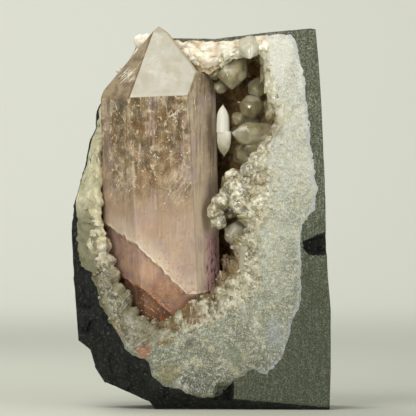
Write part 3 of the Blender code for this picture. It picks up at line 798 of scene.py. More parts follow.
def mound(points, ways, centre, radius):
    """How far a ball behind the skin pushes it out: with the offset o from a point to the ball's centre, a =
    o.d along the point's way and s the distance by which the way misses the centre, the height is min(a + r,
    2.6 r) * (1 - (s / 1.4 r)**2)**2."""
    offset = np.array(centre) - points
    along = np.sum(offset * ways, axis=-1)
    missed = np.sum(offset * offset, axis=-1) - along**2
    dome = np.clip(1 - missed / (1.4 * radius) ** 2, 0, 1) ** 2
    return np.clip(along + radius, 0, 2.6 * radius) * dome


print(len(KNOBS), "knobs in the crust")

# %% [markdown]
# Three sizes of points lie over each other, and the highest wins at each place. Where all are low there is a
# crevice.

# %% Shape of the crust
LIP_FADE = [0.95, 0.8, 0.55, 0.25, 0.0]  # the relief dies away over the last rings


def knobbly_skin():
    """The skin with its knobs and points, how far inside each place is, how low it lies between the points,
    and a random number for each point."""
    skin = crust_skin()
    inside = step_up(FACE_Y + 1.0, FACE_Y + 7.0, skin[..., 1])
    inwards = np.stack([HUB[0] - skin[..., 0], -16 - 0.7 * skin[..., 1], HUB[1] - skin[..., 2]], axis=-1)
    inwards /= np.linalg.norm(inwards, axis=-1, keepdims=True)
    swell = np.max([mound(skin, inwards, centre, radius) for centre, radius in KNOBS], axis=0)
    fade = np.ones(skin.shape[:2])
    fade[-len(LIP_FADE):] = np.array(LIP_FADE)[:, None]
    skin = skin + inwards * (swell * fade)[..., None]
    heights, kinds = zip(*(crystal_points(skin, size, 22 + k) for k, size in enumerate((3.0, 1.7, 1.0))))
    coarse = np.maximum(0.45 + 0.25 * step_up(0, 1, swell), inside)
    lifts = np.stack([1.5 * heights[0] * coarse, 0.20 + 1.3 * heights[1], 0.36 + 1.1 * heights[2]])
    lift = lifts.max(axis=0)
    tint = np.take_along_axis(np.stack(kinds), lifts.argmax(axis=0)[None], 0)[0]
    low = step_up(0.62, 0.42, lift)
    lift = (lift - 0.3 + 0.5 * inside * rough(skin, 6.0, 2, 25)) * THICKNESS * fade
    skin = skin + inwards * lift[..., None]
    skin[..., 1] = np.maximum(skin[..., 1], FACE_Y - 1.2)
    return skin, inside, low, tint


def make_crust():
    """The druse: the knobbly skin, closed behind by a plain shell."""
    skin, inside, low, tint = knobbly_skin()
    shell = crust_skin()[::-1][3::6]
    away = shell - [HUB[0], -20, HUB[1]]
    shell = shell + away / np.linalg.norm(away, axis=-1, keepdims=True) * 0.35
    blank = np.zeros(shell.shape[:2])
    values = {"crevice": low, "inside": inside, "tint": tint}
    values = {key: np.concatenate([numbers, blank]) for key, numbers in values.items()}
    return piece_from_rings("druse", np.concatenate([skin, shell]), values, sharp=20)


druse = make_crust()

# %% [markdown]
# ## A quartz crystal as a set of planes
#
# Quartz grows as a six-sided column with a six-sided tip whose faces stand 38 degrees off the axis. In a
# direction round the axis the skin lies at the nearest of those planes: distance = (d - n.p) / (n.direction).
# A soft minimum rounds the edges a little.

# %% Crystal functions
FACE_SLOPE = 38.2


def column_planes(radius, tips, turn=0.0, leans=(0,) * 6, middle=0.0, flatten=1.0):
    """Unit normals and distances of six column faces and six tip faces round +Z, from a foot at zero."""
    steep = math.radians(90 - FACE_SLOPE)
    normals, offsets = [], []
    for k, (height, lean) in enumerate(zip(tips, leans)):
        azimuth = math.radians(-90 + turn + 60 * k)
        side = np.array([math.cos(azimuth), math.sin(azimuth), 0])
        apothem = radius * math.cos(math.radians(30)) * (flatten if k % 3 == 0 else 1.0)
        column = (side + (0, 0, lean)) / math.hypot(1, lean)
        tip = side * math.sin(steep) + (0, 0, math.cos(steep))
        normals += [column, tip]
        offsets += [column @ (side * apothem + (0, 0, middle)), tip @ np.array([0, 0, height])]
    return np.array(normals), np.array(offsets)


def distance_out(normals, offsets, centre, azimuth, height):
    """Distance from the axis to every plane along a level direction, far away for planes that look away. The
    result has one more axis in front."""
    shape = (-1,) + (1,) * np.ndim(azimuth)
    nx, ny, nz = (normals[:, k].reshape(shape) for k in range(3))
    left = offsets.reshape(shape) - nx * centre[0] - ny * centre[1] - nz * height
    facing = nx * np.cos(azimuth) + ny * np.sin(azimuth)
    return np.where(facing > 1e-6, left / np.maximum(facing, 1e-6), 1e6)


def nearest_plane(distances, rounding):
    """The least of the distances, less where two are nearly the same: -k * log(sum(exp(-d/k)))."""
    least = distances.min(axis=0)
    return least - rounding * np.log(np.exp(-(distances - least) / rounding).sum(axis=0))


def stood_up(local, tip, way, length):
    """Turns a body that stands on zero along +Z to point along a way, with its tip at that place."""
    turned = np.array(Vector(way).to_track_quat("Z", "Y").to_matrix())
    return local @ turned.T + np.array(tip) - np.array(Vector(way).normalized()) * length


def small_crystal(tip, way, radius, length, rounding, chance, columns=42, rows=30):
    """Rings of one rounded crystal with its tip at that point, its faces a little uneven."""
    tips = length - radius * chance.uniform(0.0, 0.35, 6)
    planes = column_planes(radius, tips, chance.uniform(0, 60), flatten=chance.uniform(0.85, 1.0))
    azimuth = np.linspace(0, math.tau, columns, endpoint=False)[None]
    share = np.linspace(0, 1, rows)[:, None]
    height = tips.min() * (1 - (1 - share) ** 1.4) * 0.998
    height = height + 0 * azimuth
    out = np.maximum(nearest_plane(distance_out(*planes, (0, 0), azimuth, height), rounding), 0.01)
    local = np.stack([out * np.cos(azimuth), out * np.sin(azimuth), height], axis=-1)
    return stood_up(local, tip, way, tips.min())


def plain_crystal(tip, way, radius, length, chance):
    """Rings of one six-sided crystal with few faces: a foot, a slanting shoulder and a point."""
    azimuth = chance.uniform(0, 60) * math.pi / 180 + np.arange(6) * math.pi / 3
    shoulder = length - radius * chance.uniform(0.9, 1.6, 6)
    wide = radius * chance.uniform(0.85, 1.1, 6)
    rings = []
    for share, height in ((1.0, np.zeros(6)), (1.0, shoulder), (0.08, np.full(6, length))):
        x, y = share * wide * np.cos(azimuth), share * wide * np.sin(azimuth)
        rings.append(np.stack([x, y, height], axis=-1))
    return stood_up(np.array(rings), tip, way, length)


print("tip faces stand", FACE_SLOPE, "degrees off the axis")

# %% [markdown]
# ## The crystals that stand out of the crust
#
# Each has its tip, the way it points, its radius and its length. One that is pointed at both ends is made as
# two, foot to foot, white above and clearer downwards.

# %% Large crystals of the crust
CRYSTALS = [
    ((8.6, -8.6, 86.6), (-0.02, -0.60, -0.80), 4.3, 12.0),
    ((13.6, -14.4, 94.8), (0.05, -0.72, -0.68), 3.4, 7.0),
    ((18.2, -13.0, 94.0), (-0.10, -0.85, -0.40), 2.8, 7.0),
    ((14.8, -6.4, 87.0), (-0.25, -0.90, -0.10), 3.3, 12.0),
    ((13.2, -7.6, 82.4), (-0.15, -0.95, 0.05), 3.7, 14.0),
    ((8.6, -7.2, 75.0), (-0.90, -0.40, 0.06), 3.8, 15.0),
    ((6.3, -6.8, 82.9), (0.01, -0.015, 1.0), 2.35, 8.6),
    ((6.5, -6.5, 68.2), (-0.01, 0.015, -1.0), 2.45, 8.0),
    ((8.8, -5.6, 79.4), (-0.50, -0.80, 0.25), 2.2, 8.0),
    ((16.4, -7.6, 73.4), (-0.60, -0.75, 0.10), 2.2, 7.0),
    ((19.4, -9.6, 74.8), (-0.60, -0.75, 0.10), 1.8, 6.0),
    ((3.6, -7.0, 90.4), (-0.20, -0.85, -0.35), 2.4, 8.0),
    ((10.0, -5.2, 68.6), (-0.40, -0.90, -0.10), 3.2, 10.0),
    ((12.8, -8.0, 71.0), (-0.40, -0.90, 0.10), 2.4, 8.0),
    ((8.0, -8.6, 46.8), (-0.35, -0.90, -0.20), 3.4, 12.0),
    ((13.2, -10.6, 46.6), (0.05, -0.30, 1.0), 2.5, 11.5),
    ((15.6, -11.4, 42.0), (0.15, -0.35, 0.95), 2.0, 9.0),
    ((6.8, -3.6, 62.0), (-0.40, -0.90, 0.10), 3.0, 8.0),
    ((4.6, -5.0, 86.6), (-0.30, -0.85, -0.30), 2.0, 6.0),
    ((18.0, -5.0, 82.6), (-0.40, -0.90, 0.10), 2.8, 8.0),
    ((12.0, -2.6, 78.0), (-0.40, -0.90, 0.10), 3.0, 8.0),
    ((15.0, -13.0, 67.4), (-0.45, -0.45, 0.75), 1.3, 6.0),
    ((16.6, -13.2, 66.6), (-0.40, -0.50, 0.75), 1.2, 6.0),
    ((18.0, -13.6, 65.4), (-0.40, -0.55, 0.70), 1.1, 5.5),
    ((14.4, -12.4, 65.0), (-0.50, -0.50, 0.70), 1.2, 5.0),
    ((16.4, -13.2, 63.6), (-0.45, -0.55, 0.70), 1.0, 5.0),
]
WHITE_CRYSTALS = (6, 7)
PALE_CRYSTALS = (1, 14, 15, 16, 21, 22, 23, 24, 25)


def make_large_crystals():
    """The placed crystals, each with a number for how white it is."""
    chance = np.random.default_rng(7)
    bodies, white = [], []
    for k, (tip, way, radius, length) in enumerate(CRYSTALS):
        bodies.append(small_crystal(tip, way, radius, length, 0.75 if k in WHITE_CRYSTALS else 0.20, chance))
        fading = 0.15 + 0.85 * step_up(69.5, 76.0, bodies[-1][..., 2])
        white.append(fading if k in WHITE_CRYSTALS else 0.5 * (k in PALE_CRYSTALS))
    return piece_from_many("hollow_crystals", bodies, {"white": white}, sharp=32)


large_crystals = make_large_crystals()

# %% [markdown]
# Beside the large crystal the crust swells into sugary lumps. Each is a ball covered in flat-sided points,
# with a few low crystals on its front.

# %% Frosty lumps
FROSTY_LUMPS = [
    ((5.4, -8.0, 55.8), 3.1), ((4.2, -8.6, 53.4), 2.7), ((4.9, -8.8, 50.9), 2.6), ((11.4, -9.4, 56.2), 4.2),
    ((9.7, -8.4, 59.8), 3.7), ((9.3, -7.2, 62.8), 3.0), ((14.6, -10.6, 55.6), 3.2),
    ((7.8, -6.6, 58.4), 2.8), ((12.6, -8.8, 61.0), 3.4), ((8.2, -5.4, 54.4), 3.2),
    ((15.4, -10.6, 67.6), 2.6), ((17.4, -11.4, 70.4), 2.3), ((19.2, -12.0, 73.0), 1.8),
    ((20.6, -12.4, 76.2), 1.5), ((13.4, -9.8, 64.6), 2.8), ((16.4, -11.4, 62.6), 2.6),
]
POINTS_ON_LUMP = 7


def lump(centre, radius, seed, rise):
    """Rings of one uneven knob, a ball with flat-sided points of two sizes, and how low each place lies on
    it."""
    around = np.linspace(0, math.tau, 48, endpoint=False)[None]
    down = np.linspace(0, math.pi, 30)[1:-1, None]
    x, y, z = np.sin(down) * np.cos(around), np.sin(down) * np.sin(around), np.cos(down) + 0 * around
    way = np.stack([x, y, z], axis=-1)
    large, _ = crystal_points(way * radius + 3 * seed, 2.6, seed)
    small, _ = crystal_points(way * radius + 3 * seed, 0.9, seed)
    wide = noise(way * radius + 3 * seed, 3.5, seed)
    out = radius * (0.88 + 0.10 * wide) + rise * (1.0 * large + 1.5 * small)
    return np.array(centre) + way * out[..., None], step_up(0.22, 0.0, large)


def make_frosty_lumps():
    """Rounded knobs beside the large crystal, each with a few low points on it."""
    chance = np.random.default_rng(5)
    bodies, tints = [], []
    for k, (centre, radius) in enumerate(FROSTY_LUMPS):
        body, low = lump(centre, radius * 0.95, k, 0.28)
        bodies.append(body)
        # On the knobs the tint is painted shade: darker where they lie low between their points.
        tints.append(low * 0.6 - 0.3)
        for _ in range(POINTS_ON_LUMP):
            way = chance.normal(0, 1, 3) + (0, -1.0, 0)
            way /= np.linalg.norm(way)
            size = radius * chance.uniform(0.18, 0.36)
            tip = np.array(centre) + way * (radius * chance.uniform(0.97, 1.05) + 0.2 * size)
            bodies.append(small_crystal(tip, way + (0, -0.3, 0.15), size, radius, 0.12, chance, 24, 14))
            tints.append(chance.uniform(-1, 1))
    return piece_from_many("frosty_lumps", bodies, {"tint": tints}, sharp=30)


frosty_lumps = make_frosty_lumps()

# %% [markdown]
# Along the top the lining wasn't sawn. Blocky columns of quartz stand there, and three rounded knobs show at
# the left of the large crystal's tip.

# %% Columns and knobs of the lining
COLUMNS_AT_TOP = 22
TIP_KNOBS = ((-16.2, 100.2, 2.1), (-14.2, 100.9, 1.6), (-22.2, 92.2, 0.8))


def make_knobs():
    """Blocky columns along the top, and rounded knobs beside the tip."""
    chance = np.random.default_rng(8)
    columns = np.flatnonzero((np.degrees(THETA) > 68) & (np.degrees(THETA) < 101))
    bodies = []
    for _ in range(COLUMNS_AT_TOP):
        column = chance.choice(columns)
        far = MOUTH[column] - 0.8 + (LINING[column] - 2.8 - MOUTH[column]) * chance.uniform(0, 0.9)
        x, z = HUB[0] + far * math.cos(THETA[column]), HUB[1] + far * math.sin(THETA[column])
        depth = front_at(x, z)
        way = np.array([chance.normal(0, 0.25), -0.9, -0.3 + chance.normal(0, 0.2)])
        tip = (x, depth - chance.uniform(0.4, 1.0), z - 0.6)
        bodies.append(small_crystal(tip, way, chance.uniform(1.1, 2.2), 5.0, 0.22, chance, 40, 24))
    for x, z, radius in TIP_KNOBS:
        depth = front_at(x, z)
        body, _ = lump((x, depth + 0.6, z), radius, 7, 0.25)
        bodies.append(body)
    return piece_from_many("lining_knobs", bodies, sharp=35)


lining_knobs = make_knobs()

# %% [markdown]
# Many more crystals, of a few faces each, are scattered over the knobs, the floor and the flare.

# %% Scattered crystals
SCATTERED = 1100


def make_scattered_crystals():
    """Crystals that stand off the skin, most of them on its knobs, its floor and its flare, each with a
    number for its tint."""
    chance = np.random.default_rng(9)
    skin, _, _, _ = knobbly_skin()
    out = np.cross(np.roll(skin, -1, axis=1) - skin, np.roll(skin, -1, axis=0) - skin)
    out /= np.linalg.norm(out, axis=-1, keepdims=True) + 1e-9
    turned = np.sum(out * ([HUB[0], -30, HUB[1]] - skin), axis=-1, keepdims=True)
    out = np.where(turned < 0, -out, out)
    low = np.flatnonzero(np.sin(THETA) < -0.42)
    right = np.flatnonzero(np.cos(THETA) > -0.2)
    bodies = []
    for count in range(SCATTERED):
        on_floor = count % 5 < 3
        column = chance.choice(low if on_floor else right)
        row = len(skin) - 2 - chance.integers(0, 44 if on_floor else 80)
        base = skin[row, column]
        way = out[row, column] + np.array([0, -0.5, 0]) + chance.uniform(-0.35, 0.35, 3)
        way /= np.linalg.norm(way)
        radius = 0.22 + 0.75 * chance.random() ** 2
        height = radius * (chance.uniform(0.5, 1.6) if on_floor else chance.uniform(0.3, 1.0))
        if base[1] - height < FACE_Y - 1.0:
            height = 0.4 * radius
        bodies.append(plain_crystal(base + way * height, way, radius, height + 0.9, chance))
    return piece_from_many("little_crystals", bodies, {"tint": chance.uniform(-1, 1, len(bodies))}, sharp=0)


little_crystals = make_scattered_crystals()

# %% [markdown]
# ## The amethyst
#
# The large crystal is three layers of one column, each a set of planes with one slanting cut more. The skin
# is the farthest out of the three, so the steps come out by themselves.

# %% Planes of the amethyst
COLUMN_RADIUS = 15.9
COLUMN_TURN = 3.5
COLUMN_FOOT = np.array([-9.3, 4.0, 17.0])
COLUMN_TILT = (4.0, -2.1)
TIP_HEIGHTS = np.array([86.3, 92.0, 89.3, 88.5, 86.5, 86.5])
FACE_LEANS = [0.0, 0.011, -0.037, 0.0, 0.045, -0.021]
COLUMN_MIDDLE = 44.0
STEPS = [
    (0.0, (-1.077, -0.38, -1.0), (-4.6, -13.8, 26.7)),
    (0.9, (-0.94, -0.38, -1.0), (-3.6, -12.9, 14.9)),
    (2.2, (-0.83, 0.0, -0.557), (-14.2, 0.0, 17.8)),
]
BURIED_END = ((-0.50, 0.35, -0.79), (-2.5, 0.0, 0.0))
SHOULDER = [((0.797, 0.0, 0.603), (-8.05, 0.0, 101.5)), ((0.26, 0.0, 0.966), (-1.5, 0.0, 92.1))]
AXIS = (1.17, 0.94)  # where the rays start: below the highest point of the tip
TO_WORLD = np.array(Euler((math.radians(COLUMN_TILT[0]), math.radians(COLUMN_TILT[1]), 0)).to_matrix())


def plane_through(outward, point):
    """Unit normal and distance of a plane from a direction and a point on it."""
    normal = np.array(outward) / np.linalg.norm(outward)
    return normal, normal @ np.array(point)


def into_crystal(outward, point):
    """The same, for a plane given in the frame of the whole specimen."""
    return plane_through(np.array(outward) @ TO_WORLD, (np.array(point) - COLUMN_FOOT) @ TO_WORLD)


def inner_column(inset, tips):
    """Planes of the column and tip, with the column's faces moved in."""
    return column_planes(COLUMN_RADIUS - inset, tips, COLUMN_TURN, FACE_LEANS, COLUMN_MIDDLE)


def layer_planes(index):
    """All planes of one growth layer; the cut that ends it is the last."""
    inset, outward, point = STEPS[index]
    normals, offsets = inner_column(inset, TIP_HEIGHTS - inset)
    more = []
    if index > 0:
        more = [plane_through(STEPS[2][1], STEPS[2][2]), plane_through(*BURIED_END)]
    more.append(plane_through(outward, point))
    normals = np.vstack([normals, [n for n, _ in more]])
    return normals, np.append(offsets, [d for _, d in more])


LAYERS = [layer_planes(k) for k in range(3)]
SHOULDER_PLANES = [into_crystal(outward, point) for outward, point in SHOULDER]
print("planes of each layer:", [len(offsets) for _, offsets in LAYERS])

# %% [markdown]
# At each height and direction the skin is the farthest of the layers, less the corner that the lining took
# off the right shoulder.

# %% Skin of the amethyst
TURNS = np.linspace(-math.pi, math.pi, 4001)
ALONG = np.stack([np.cos(TURNS) * 15, np.sin(TURNS) * 15, 0 * TURNS], axis=-1)
RAGGED = [0.42 * noise(ALONG, 1.7, 37 + k) + 0.34 * noise(ALONG, 0.6, 39 + k) for k in range(2)] + [0 * TURNS]


def layer_distances(index, azimuth, height):
    """Distances from the axis to the planes of one layer. The cut, which is the last, is a little ragged."""
    normals, offsets = LAYERS[index]
    distances = distance_out(normals, offsets, AXIS, azimuth, height)
    turned = (azimuth + math.pi) % math.tau - math.pi
    facing = normals[-1][0] * np.cos(azimuth) + normals[-1][1] * np.sin(azimuth)
    distances[-1] += np.interp(turned, TURNS, RAGGED[index]) / np.maximum(facing, 0.2)
    return distances


def layer_skin(index, azimuth, height, rounding):
    """Distance from the axis to one layer, or a negative number where the axis itself lies beyond its cut."""
    normals, offsets = LAYERS[index]
    outside = normals[-1] @ np.array([AXIS[0], AXIS[1], 0]) + normals[-1][2] * height > offsets[-1]
    return np.where(outside, -1.0, nearest_plane(layer_distances(index, azimuth, height), rounding))


def amethyst_skin(azimuth, height, rounding=0.16):
    """Distance to the skin: the farthest layer, less what the lining took off the right shoulder."""
    out = np.max([layer_skin(k, azimuth, height, rounding) for k in range(3)], axis=0)
    beyond = []
    for normal, offset in SHOULDER_PLANES:
        beyond.append(distance_out(normal[None], np.array([offset]), AXIS, azimuth, height)[0])
    return np.maximum(soft_min(out, np.max(beyond, axis=0), 0.5), 0.02)


front_face = float(amethyst_skin(np.array(-1.5), np.array(50.0)))
print("from the axis to the front face:", round(front_face, 1), "mm")

# %% [markdown]
# The lines where planes meet are where the difference of two distances changes its sign. Rows of the grid
# follow them, so that the edges stay straight.


# %% Lines where planes meet
def crossing(difference, heights):
    """For each direction, the lowest height at which a difference turns from negative to positive."""
    positive = difference > 0
    first = np.argmax(positive, axis=0)
    first = np.where(positive.any(axis=0), first, len(heights) - 1)
    k = np.clip(first, 1, len(heights) - 1)
    columns = np.arange(difference.shape[1])
    below, above = difference[k - 1, columns], difference[k, columns]
    share = np.where(first > 0, np.clip(-below / np.where(above == below, 1, above - below), 0, 1), 0)
    return heights[k - 1] + (heights[k] - heights[k - 1]) * share


def edge_heights(azimuth):
    """Heights of those lines, from the foot up: the two edges of each ledge, and the line where the tip
    begins."""
    heights = np.arange(0.0, 90.0, 0.1)
    a, h = np.meshgrid(azimuth, heights)
    skins = [layer_skin(k, a, h, 1e-3) for k in range(3)]
    found = []
    for outer, inner in ((1, 2), (0, 1)):
        found.append(crossing(skins[outer] - skins[inner], heights))
        distances = layer_distances(outer, a, h)
        found.append(crossing(distances[-1] - distances[:-1].min(axis=0), heights))
    distances = layer_distances(0, a, h)
    found.append(crossing(distances[:12:2].min(axis=0) - distances[1:12:2].min(axis=0), heights))
    return found


def corner_azimuths(height, inset):
    """Directions from the axis to the six upright edges: where neighbouring column planes cross at that
    height."""
    normals, offsets = inner_column(inset, TIP_HEIGHTS)
    normals, offsets = normals[::2], offsets[::2]
    left = offsets[:, None] - normals[:, 2:] * np.ravel(height) - (normals[:, :2] @ np.array(AXIS))[:, None]
    after, after_left = np.roll(normals, -1, axis=0), np.roll(left, -1, axis=0)
    cross = normals[:, 0] * after[:, 1] - normals[:, 1] * after[:, 0]
    x = (left * after[:, 1:2] - after_left * normals[:, 1:2]) / cross[:, None]
    y = (after_left * normals[:, 0:1] - left * after[:, 0:1]) / cross[:, None]
    return np.arctan2(y, x).reshape((6,) + np.shape(height))


print("highest point of the tip:", round(float(TIP_HEIGHTS.min()), 1), "mm up the axis")

# %% [markdown]
# The columns of the grid are laid out face by face, closer together near the upright edges, which are found
# again for every row because the faces lean. The rows are laid out in bands between the lines: four bands
# below the upper step and four above it.

# %% Grid of the amethyst
FACE_COLUMNS = [58, 44, 34, 34, 34, 44]
BANDS = [12, 4, 26, 4, 34, 26, 58, 46]
BAND_INSETS = [2.2, 0.9, 0.9, 0, 0, 0, 0, 0]
GRID_TOP = 87.35


def spaced(count):
    """Numbers from 0 up to 1, without 1, closer together at both ends."""
    t = np.arange(count) / count
    return t - 0.7 * np.sin(math.tau * t) / math.tau


def amethyst_grid():
    """Azimuth and height of every grid point, the edge lines there, and each column's face and place on
    it."""
    table = np.linspace(-math.pi, math.pi, 1441)
    edges = [np.maximum(e, 0.02) for e in edge_heights(table)]
    lines = [np.zeros_like(table)] + edges[:4]
    for k in range(1, 5):
        lines[k] = np.maximum(lines[k], lines[k - 1] + 0.02)
    shoulder = np.maximum(edges[4], lines[4] + 3)
    lines += [lines[4] + (shoulder - lines[4]) * 0.25, lines[4] + (shoulder - lines[4]) * 0.6, shoulder]
    lines.append(np.full_like(table, GRID_TOP))

    face = np.concatenate([np.full(n, k) for k, n in enumerate(FACE_COLUMNS)])
    share = np.concatenate([spaced(n) for n in FACE_COLUMNS])
    band = np.concatenate([np.full(n, k) for k, n in enumerate(BANDS)])
    rise = np.concatenate([spaced(n) for n in BANDS])
    rise[band == len(BANDS) - 1] = 1 - (1 - np.arange(BANDS[-1]) / BANDS[-1]) ** 1.2
    inset = np.array(BAND_INSETS)[band]
    height = np.full((len(band), len(face)), 40.0)
    for _ in range(4):
        azimuth = np.zeros_like(height)
        for value in sorted(set(BAND_INSETS)):
            rows = inset == value
            corners = corner_azimuths(np.minimum(height[rows], 80), value)
            start, end = (corners[k % 6, :, np.arange(len(face))].T for k in (face - 1, face))
            azimuth[rows] = start + ((end - start) % math.tau) * share
        wrapped = (azimuth + math.pi) % math.tau - math.pi
        here = np.stack([np.interp(wrapped, table, line) for line in lines])
        low, high = (here[k, np.arange(len(band))] for k in (band, band + 1))
        height = low + (high - low) * rise[:, None]
    return azimuth, height, here, face, share


print("grid of", sum(BANDS), "rows and", sum(FACE_COLUMNS), "columns")

# %% [markdown]
# The skin gets flutes up the column, raised rims along the steps and etched pits. It also keeps numbers for
# the finish, such as how near each place is to a rim.


# %% Shape of the amethyst
def amethyst_shape():
    """Points and shader values of the crystal."""
    azimuth, height, lines, face, share = amethyst_grid()
    out = amethyst_skin(azimuth, height)
    place = np.stack([AXIS[0] + out * np.cos(azimuth), AXIS[1] + out * np.sin(azimuth), height], axis=-1)
    tip = step_up(-0.4, 0.4, height - lines[7])
    flutes = 0.02 * noise(place * (1, 1, 0.07), 0.9, 31) + 0.04 * noise(place * (1, 1, 0.05), 2.6, 32)
    ripples = 0.02 * noise(place * (0.25, 0.25, 1.4), 1.0, 33) + 0.05 * rough(place, 9.0, 3, 34)
    rim_upper = np.exp(-(((height - lines[4]) / 0.5) ** 2)) * step_up(1.0, 2.0, lines[4])
    rim_lower = np.exp(-(((height - lines[2]) / 0.45) ** 2)) * step_up(1.0, 2.0, lines[2])
    lip = (rim_upper + 0.8 * rim_lower) * (0.16 + 0.16 * noise(place, 0.9, 35))
    world = place @ TO_WORLD.T + COLUMN_FOOT
    flank = step_up(0.5, 2.5, world[..., 0]) * step_up(50, 46, world[..., 2]) * step_up(4, 0, world[..., 1])
    foot = step_up(36, 30, world[..., 2])
    pits = step_up(0.30, 0.55, noise(place, 0.62, 36)) * np.maximum(flank, 0.45 * foot)
    push = (flutes + ripples) * (1 - 0.7 * tip) + lip - 0.3 * pits
    out = np.maximum(out + push * step_up(0.5, 3.0, out), 0.02)
    place = np.stack([AXIS[0] + out * np.cos(azimuth), AXIS[1] + out * np.sin(azimuth), height], axis=-1)
    world = place @ TO_WORLD.T + COLUMN_FOOT
    distances = distance_out(*LAYERS[0], AXIS, azimuth, height)
    column, tips = distances[:12:2].min(axis=0), distances[1:12:2]
    others = np.minimum(np.minimum(column, tips[2:].min(axis=0)), 50)
    on_left = np.minimum(tips[0], 50) - np.minimum(tips[5], 50)
    whole = np.ones_like(height)
    cut = [distance_out(n[None], np.array([d]), AXIS, azimuth, height)[0] for n, d in SHOULDER_PLANES]
    above = height - lines[4]
    values = {
        "rim_upper": rim_upper,
        "rim_lower": rim_lower,
        "pits": pits,
        "flank": flank,
        "tip": np.clip(column - tips.min(axis=0), -1, 1),
        "frost": np.clip(others - tips[:2].min(axis=0), -1, 1),
        "ridge": step_up(1.4, 0.5, on_left) * (on_left > -0.2),
        "first": step_up(-0.15, 0.15, height - lines[3]),
        "second": step_up(-0.15, 0.15, height - lines[1]),
        "ledge": step_up(7.0, 0.0, above) * step_up(-0.2, 0.2, above) * step_up(1, 2, lines[4]),
        "up": world[..., 2] / 100,
        "left_band": (face == 5) * step_up(0.02, 0.08, share) * step_up(0.34, 0.26, share) * whole,
        "right_face": (face == 1) * step_up(0.0, 0.05, share) * whole,
        "shoulder": step_up(-1.2, 0.3, layer_skin(0, azimuth, height, 0.1) - np.max(cut, axis=0)),
        # how near each place is to an upright edge, for a painted highlight there
        "edge": np.exp(-((np.minimum(share, 1 - share) * 60) ** 2)) * whole,
    }
    return world, values


AMETHYST_SKIN, AMETHYST_VALUES = amethyst_shape()
amethyst = piece_from_rings("amethyst", AMETHYST_SKIN, AMETHYST_VALUES, sharp=24)

# %% [markdown]
# Grains of rust sit on its lower faces, and bright slivers, where old cracks healed, in its upper half. The
# slivers are painted near white as glints: painted highlights where the cracks catch the light. Some are
# scattered in swarms. The longer ones are placed one by one, each with its angle from level, half length and
# half width.

# %% Where the grains and slivers are
RUST_SWARMS = [
    ((-11.0, 51.0), (7.0, 5.0), 150), ((-6.0, 40.0), (4.5, 6.0), 150), ((-16.0, 36.0), (6.0, 5.0), 170),
    ((-9.0, 31.0), (3.5, 3.0), 170), ((-20.5, 54.0), (4.0, 5.0), 60), ((-12.5, 29.0), (3.0, 3.0), 120),
    ((-20.0, 41.0), (3.5, 3.0), 60), ((-15.0, 26.5), (3.0, 2.5), 70),
]
# Painted glints: swarms of near-white flakes where the upper half catches the light.
PAINTED_GLINT_SWARMS = [
    ((-19.5, 61.0), (3.0, 1.8), 46), ((-13.0, 61.0), (3.0, 2.0), 26), ((-5.5, 60.0), (2.6, 3.4), 44),
    ((-22.0, 69.0), (2.5, 1.6), 18), ((-13.5, 69.0), (3.6, 1.4), 22), ((-9.0, 74.0), (4.0, 3.0), 22),
    ((-18.0, 78.0), (4.0, 3.0), 14), ((-3.0, 76.0), (2.0, 5.0), 12), ((-22.6, 81.0), (2.4, 2.4), 12),
]
# The long slivers are painted glints as well.
SLIVERS = [
    ((-6.6, 80.6), 52, 2.2, 0.07), ((-7.6, 79.4), 35, 1.3, 0.10), ((-7.2, 79.6), 115, 1.2, 0.07),
    ((-6.9, 79.0), -15, 1.0, 0.09), ((-8.3, 79.9), 75, 0.9, 0.07), ((-5.6, 82.0), 42, 1.8, 0.05),
    ((-7.9, 80.4), 60, 1.0, 0.06), ((-7.0, 78.6), 25, 0.8, 0.06), ((-8.6, 79.0), 10, 0.7, 0.07),
    ((-6.2, 79.8), 80, 0.7, 0.06), ((-7.4, 80.6), -35, 0.6, 0.08), ((-9.0, 78.2), 50, 1.1, 0.05),
    ((-1.5, 83.4), 84, 1.1, 0.24), ((-1.9, 86.2), 86, 1.2, 0.08), ((1.6, 84.4), 88, 0.9, 0.07),
    ((-1.2, 81.8), 80, 0.8, 0.10), ((-20.9, 89.4), 33, 1.7, 0.10), ((-20.2, 89.8), 28, 1.5, 0.08),
    ((-19.6, 90.4), 36, 1.9, 0.12), ((-19.0, 90.9), 30, 1.6, 0.10), ((-18.4, 91.6), 34, 1.4, 0.08),
    ((-20.6, 91.0), 44, 1.3, 0.10), ((-21.2, 90.4), 50, 0.9, 0.12), ((-17.6, 92.3), 30, 1.1, 0.06),
    ((-24.0, 80.2), -40, 0.9, 0.08), ((-22.6, 82.0), -48, 1.2, 0.07), ((-12.3, 68.6), 50, 0.6, 0.16),
    ((-13.0, 69.6), 120, 0.5, 0.12), ((-12.4, 75.0), 95, 0.8, 0.07), ((-6.8, 77.0), -60, 0.9, 0.06),
]
DARK_SLIVERS = [((-26.6, 69.6), 80, 0.5, 0.30), ((-26.9, 67.4), 88, 1.6, 0.07)]
print(sum(count for _, _, count in RUST_SWARMS), "grains of rust,", len(SLIVERS), "long slivers")

# %% [markdown]
# A sliver is a thin lens with a ragged outline, half sunk into the skin and turned the way the skin faces
# there.


# %% Grains and slivers
def skin_frame():
    """Place and outward way at every grid point of the crystal's skin that looks towards the front."""
    across = np.roll(AMETHYST_SKIN, -1, axis=1) - AMETHYST_SKIN
    upwards = np.roll(AMETHYST_SKIN, -1, axis=0) - AMETHYST_SKIN
    out = np.cross(across, upwards)
    out /= np.linalg.norm(out, axis=-1, keepdims=True) + 1e-9
    seen = out[..., 1] < -0.25
    seen[-1] = False
    return AMETHYST_SKIN[seen], out[seen]


SEEN_PLACES, SEEN_WAYS = skin_frame()


def on_skin(x, z):
    """The place on the front skin nearest to (x, z), and the way out there."""
    k = np.argmin((SEEN_PLACES[:, 0] - x) ** 2 + (SEEN_PLACES[:, 2] - z) ** 2)
    return SEEN_PLACES[k], SEEN_WAYS[k]


def swarm_places(swarms, chance):
    """Places on the skin that thicken towards the middle of each swarm."""
    for centre, spread, count in swarms:
        for x, z in chance.normal(centre, spread, (count, 2)):
            yield on_skin(x, z)


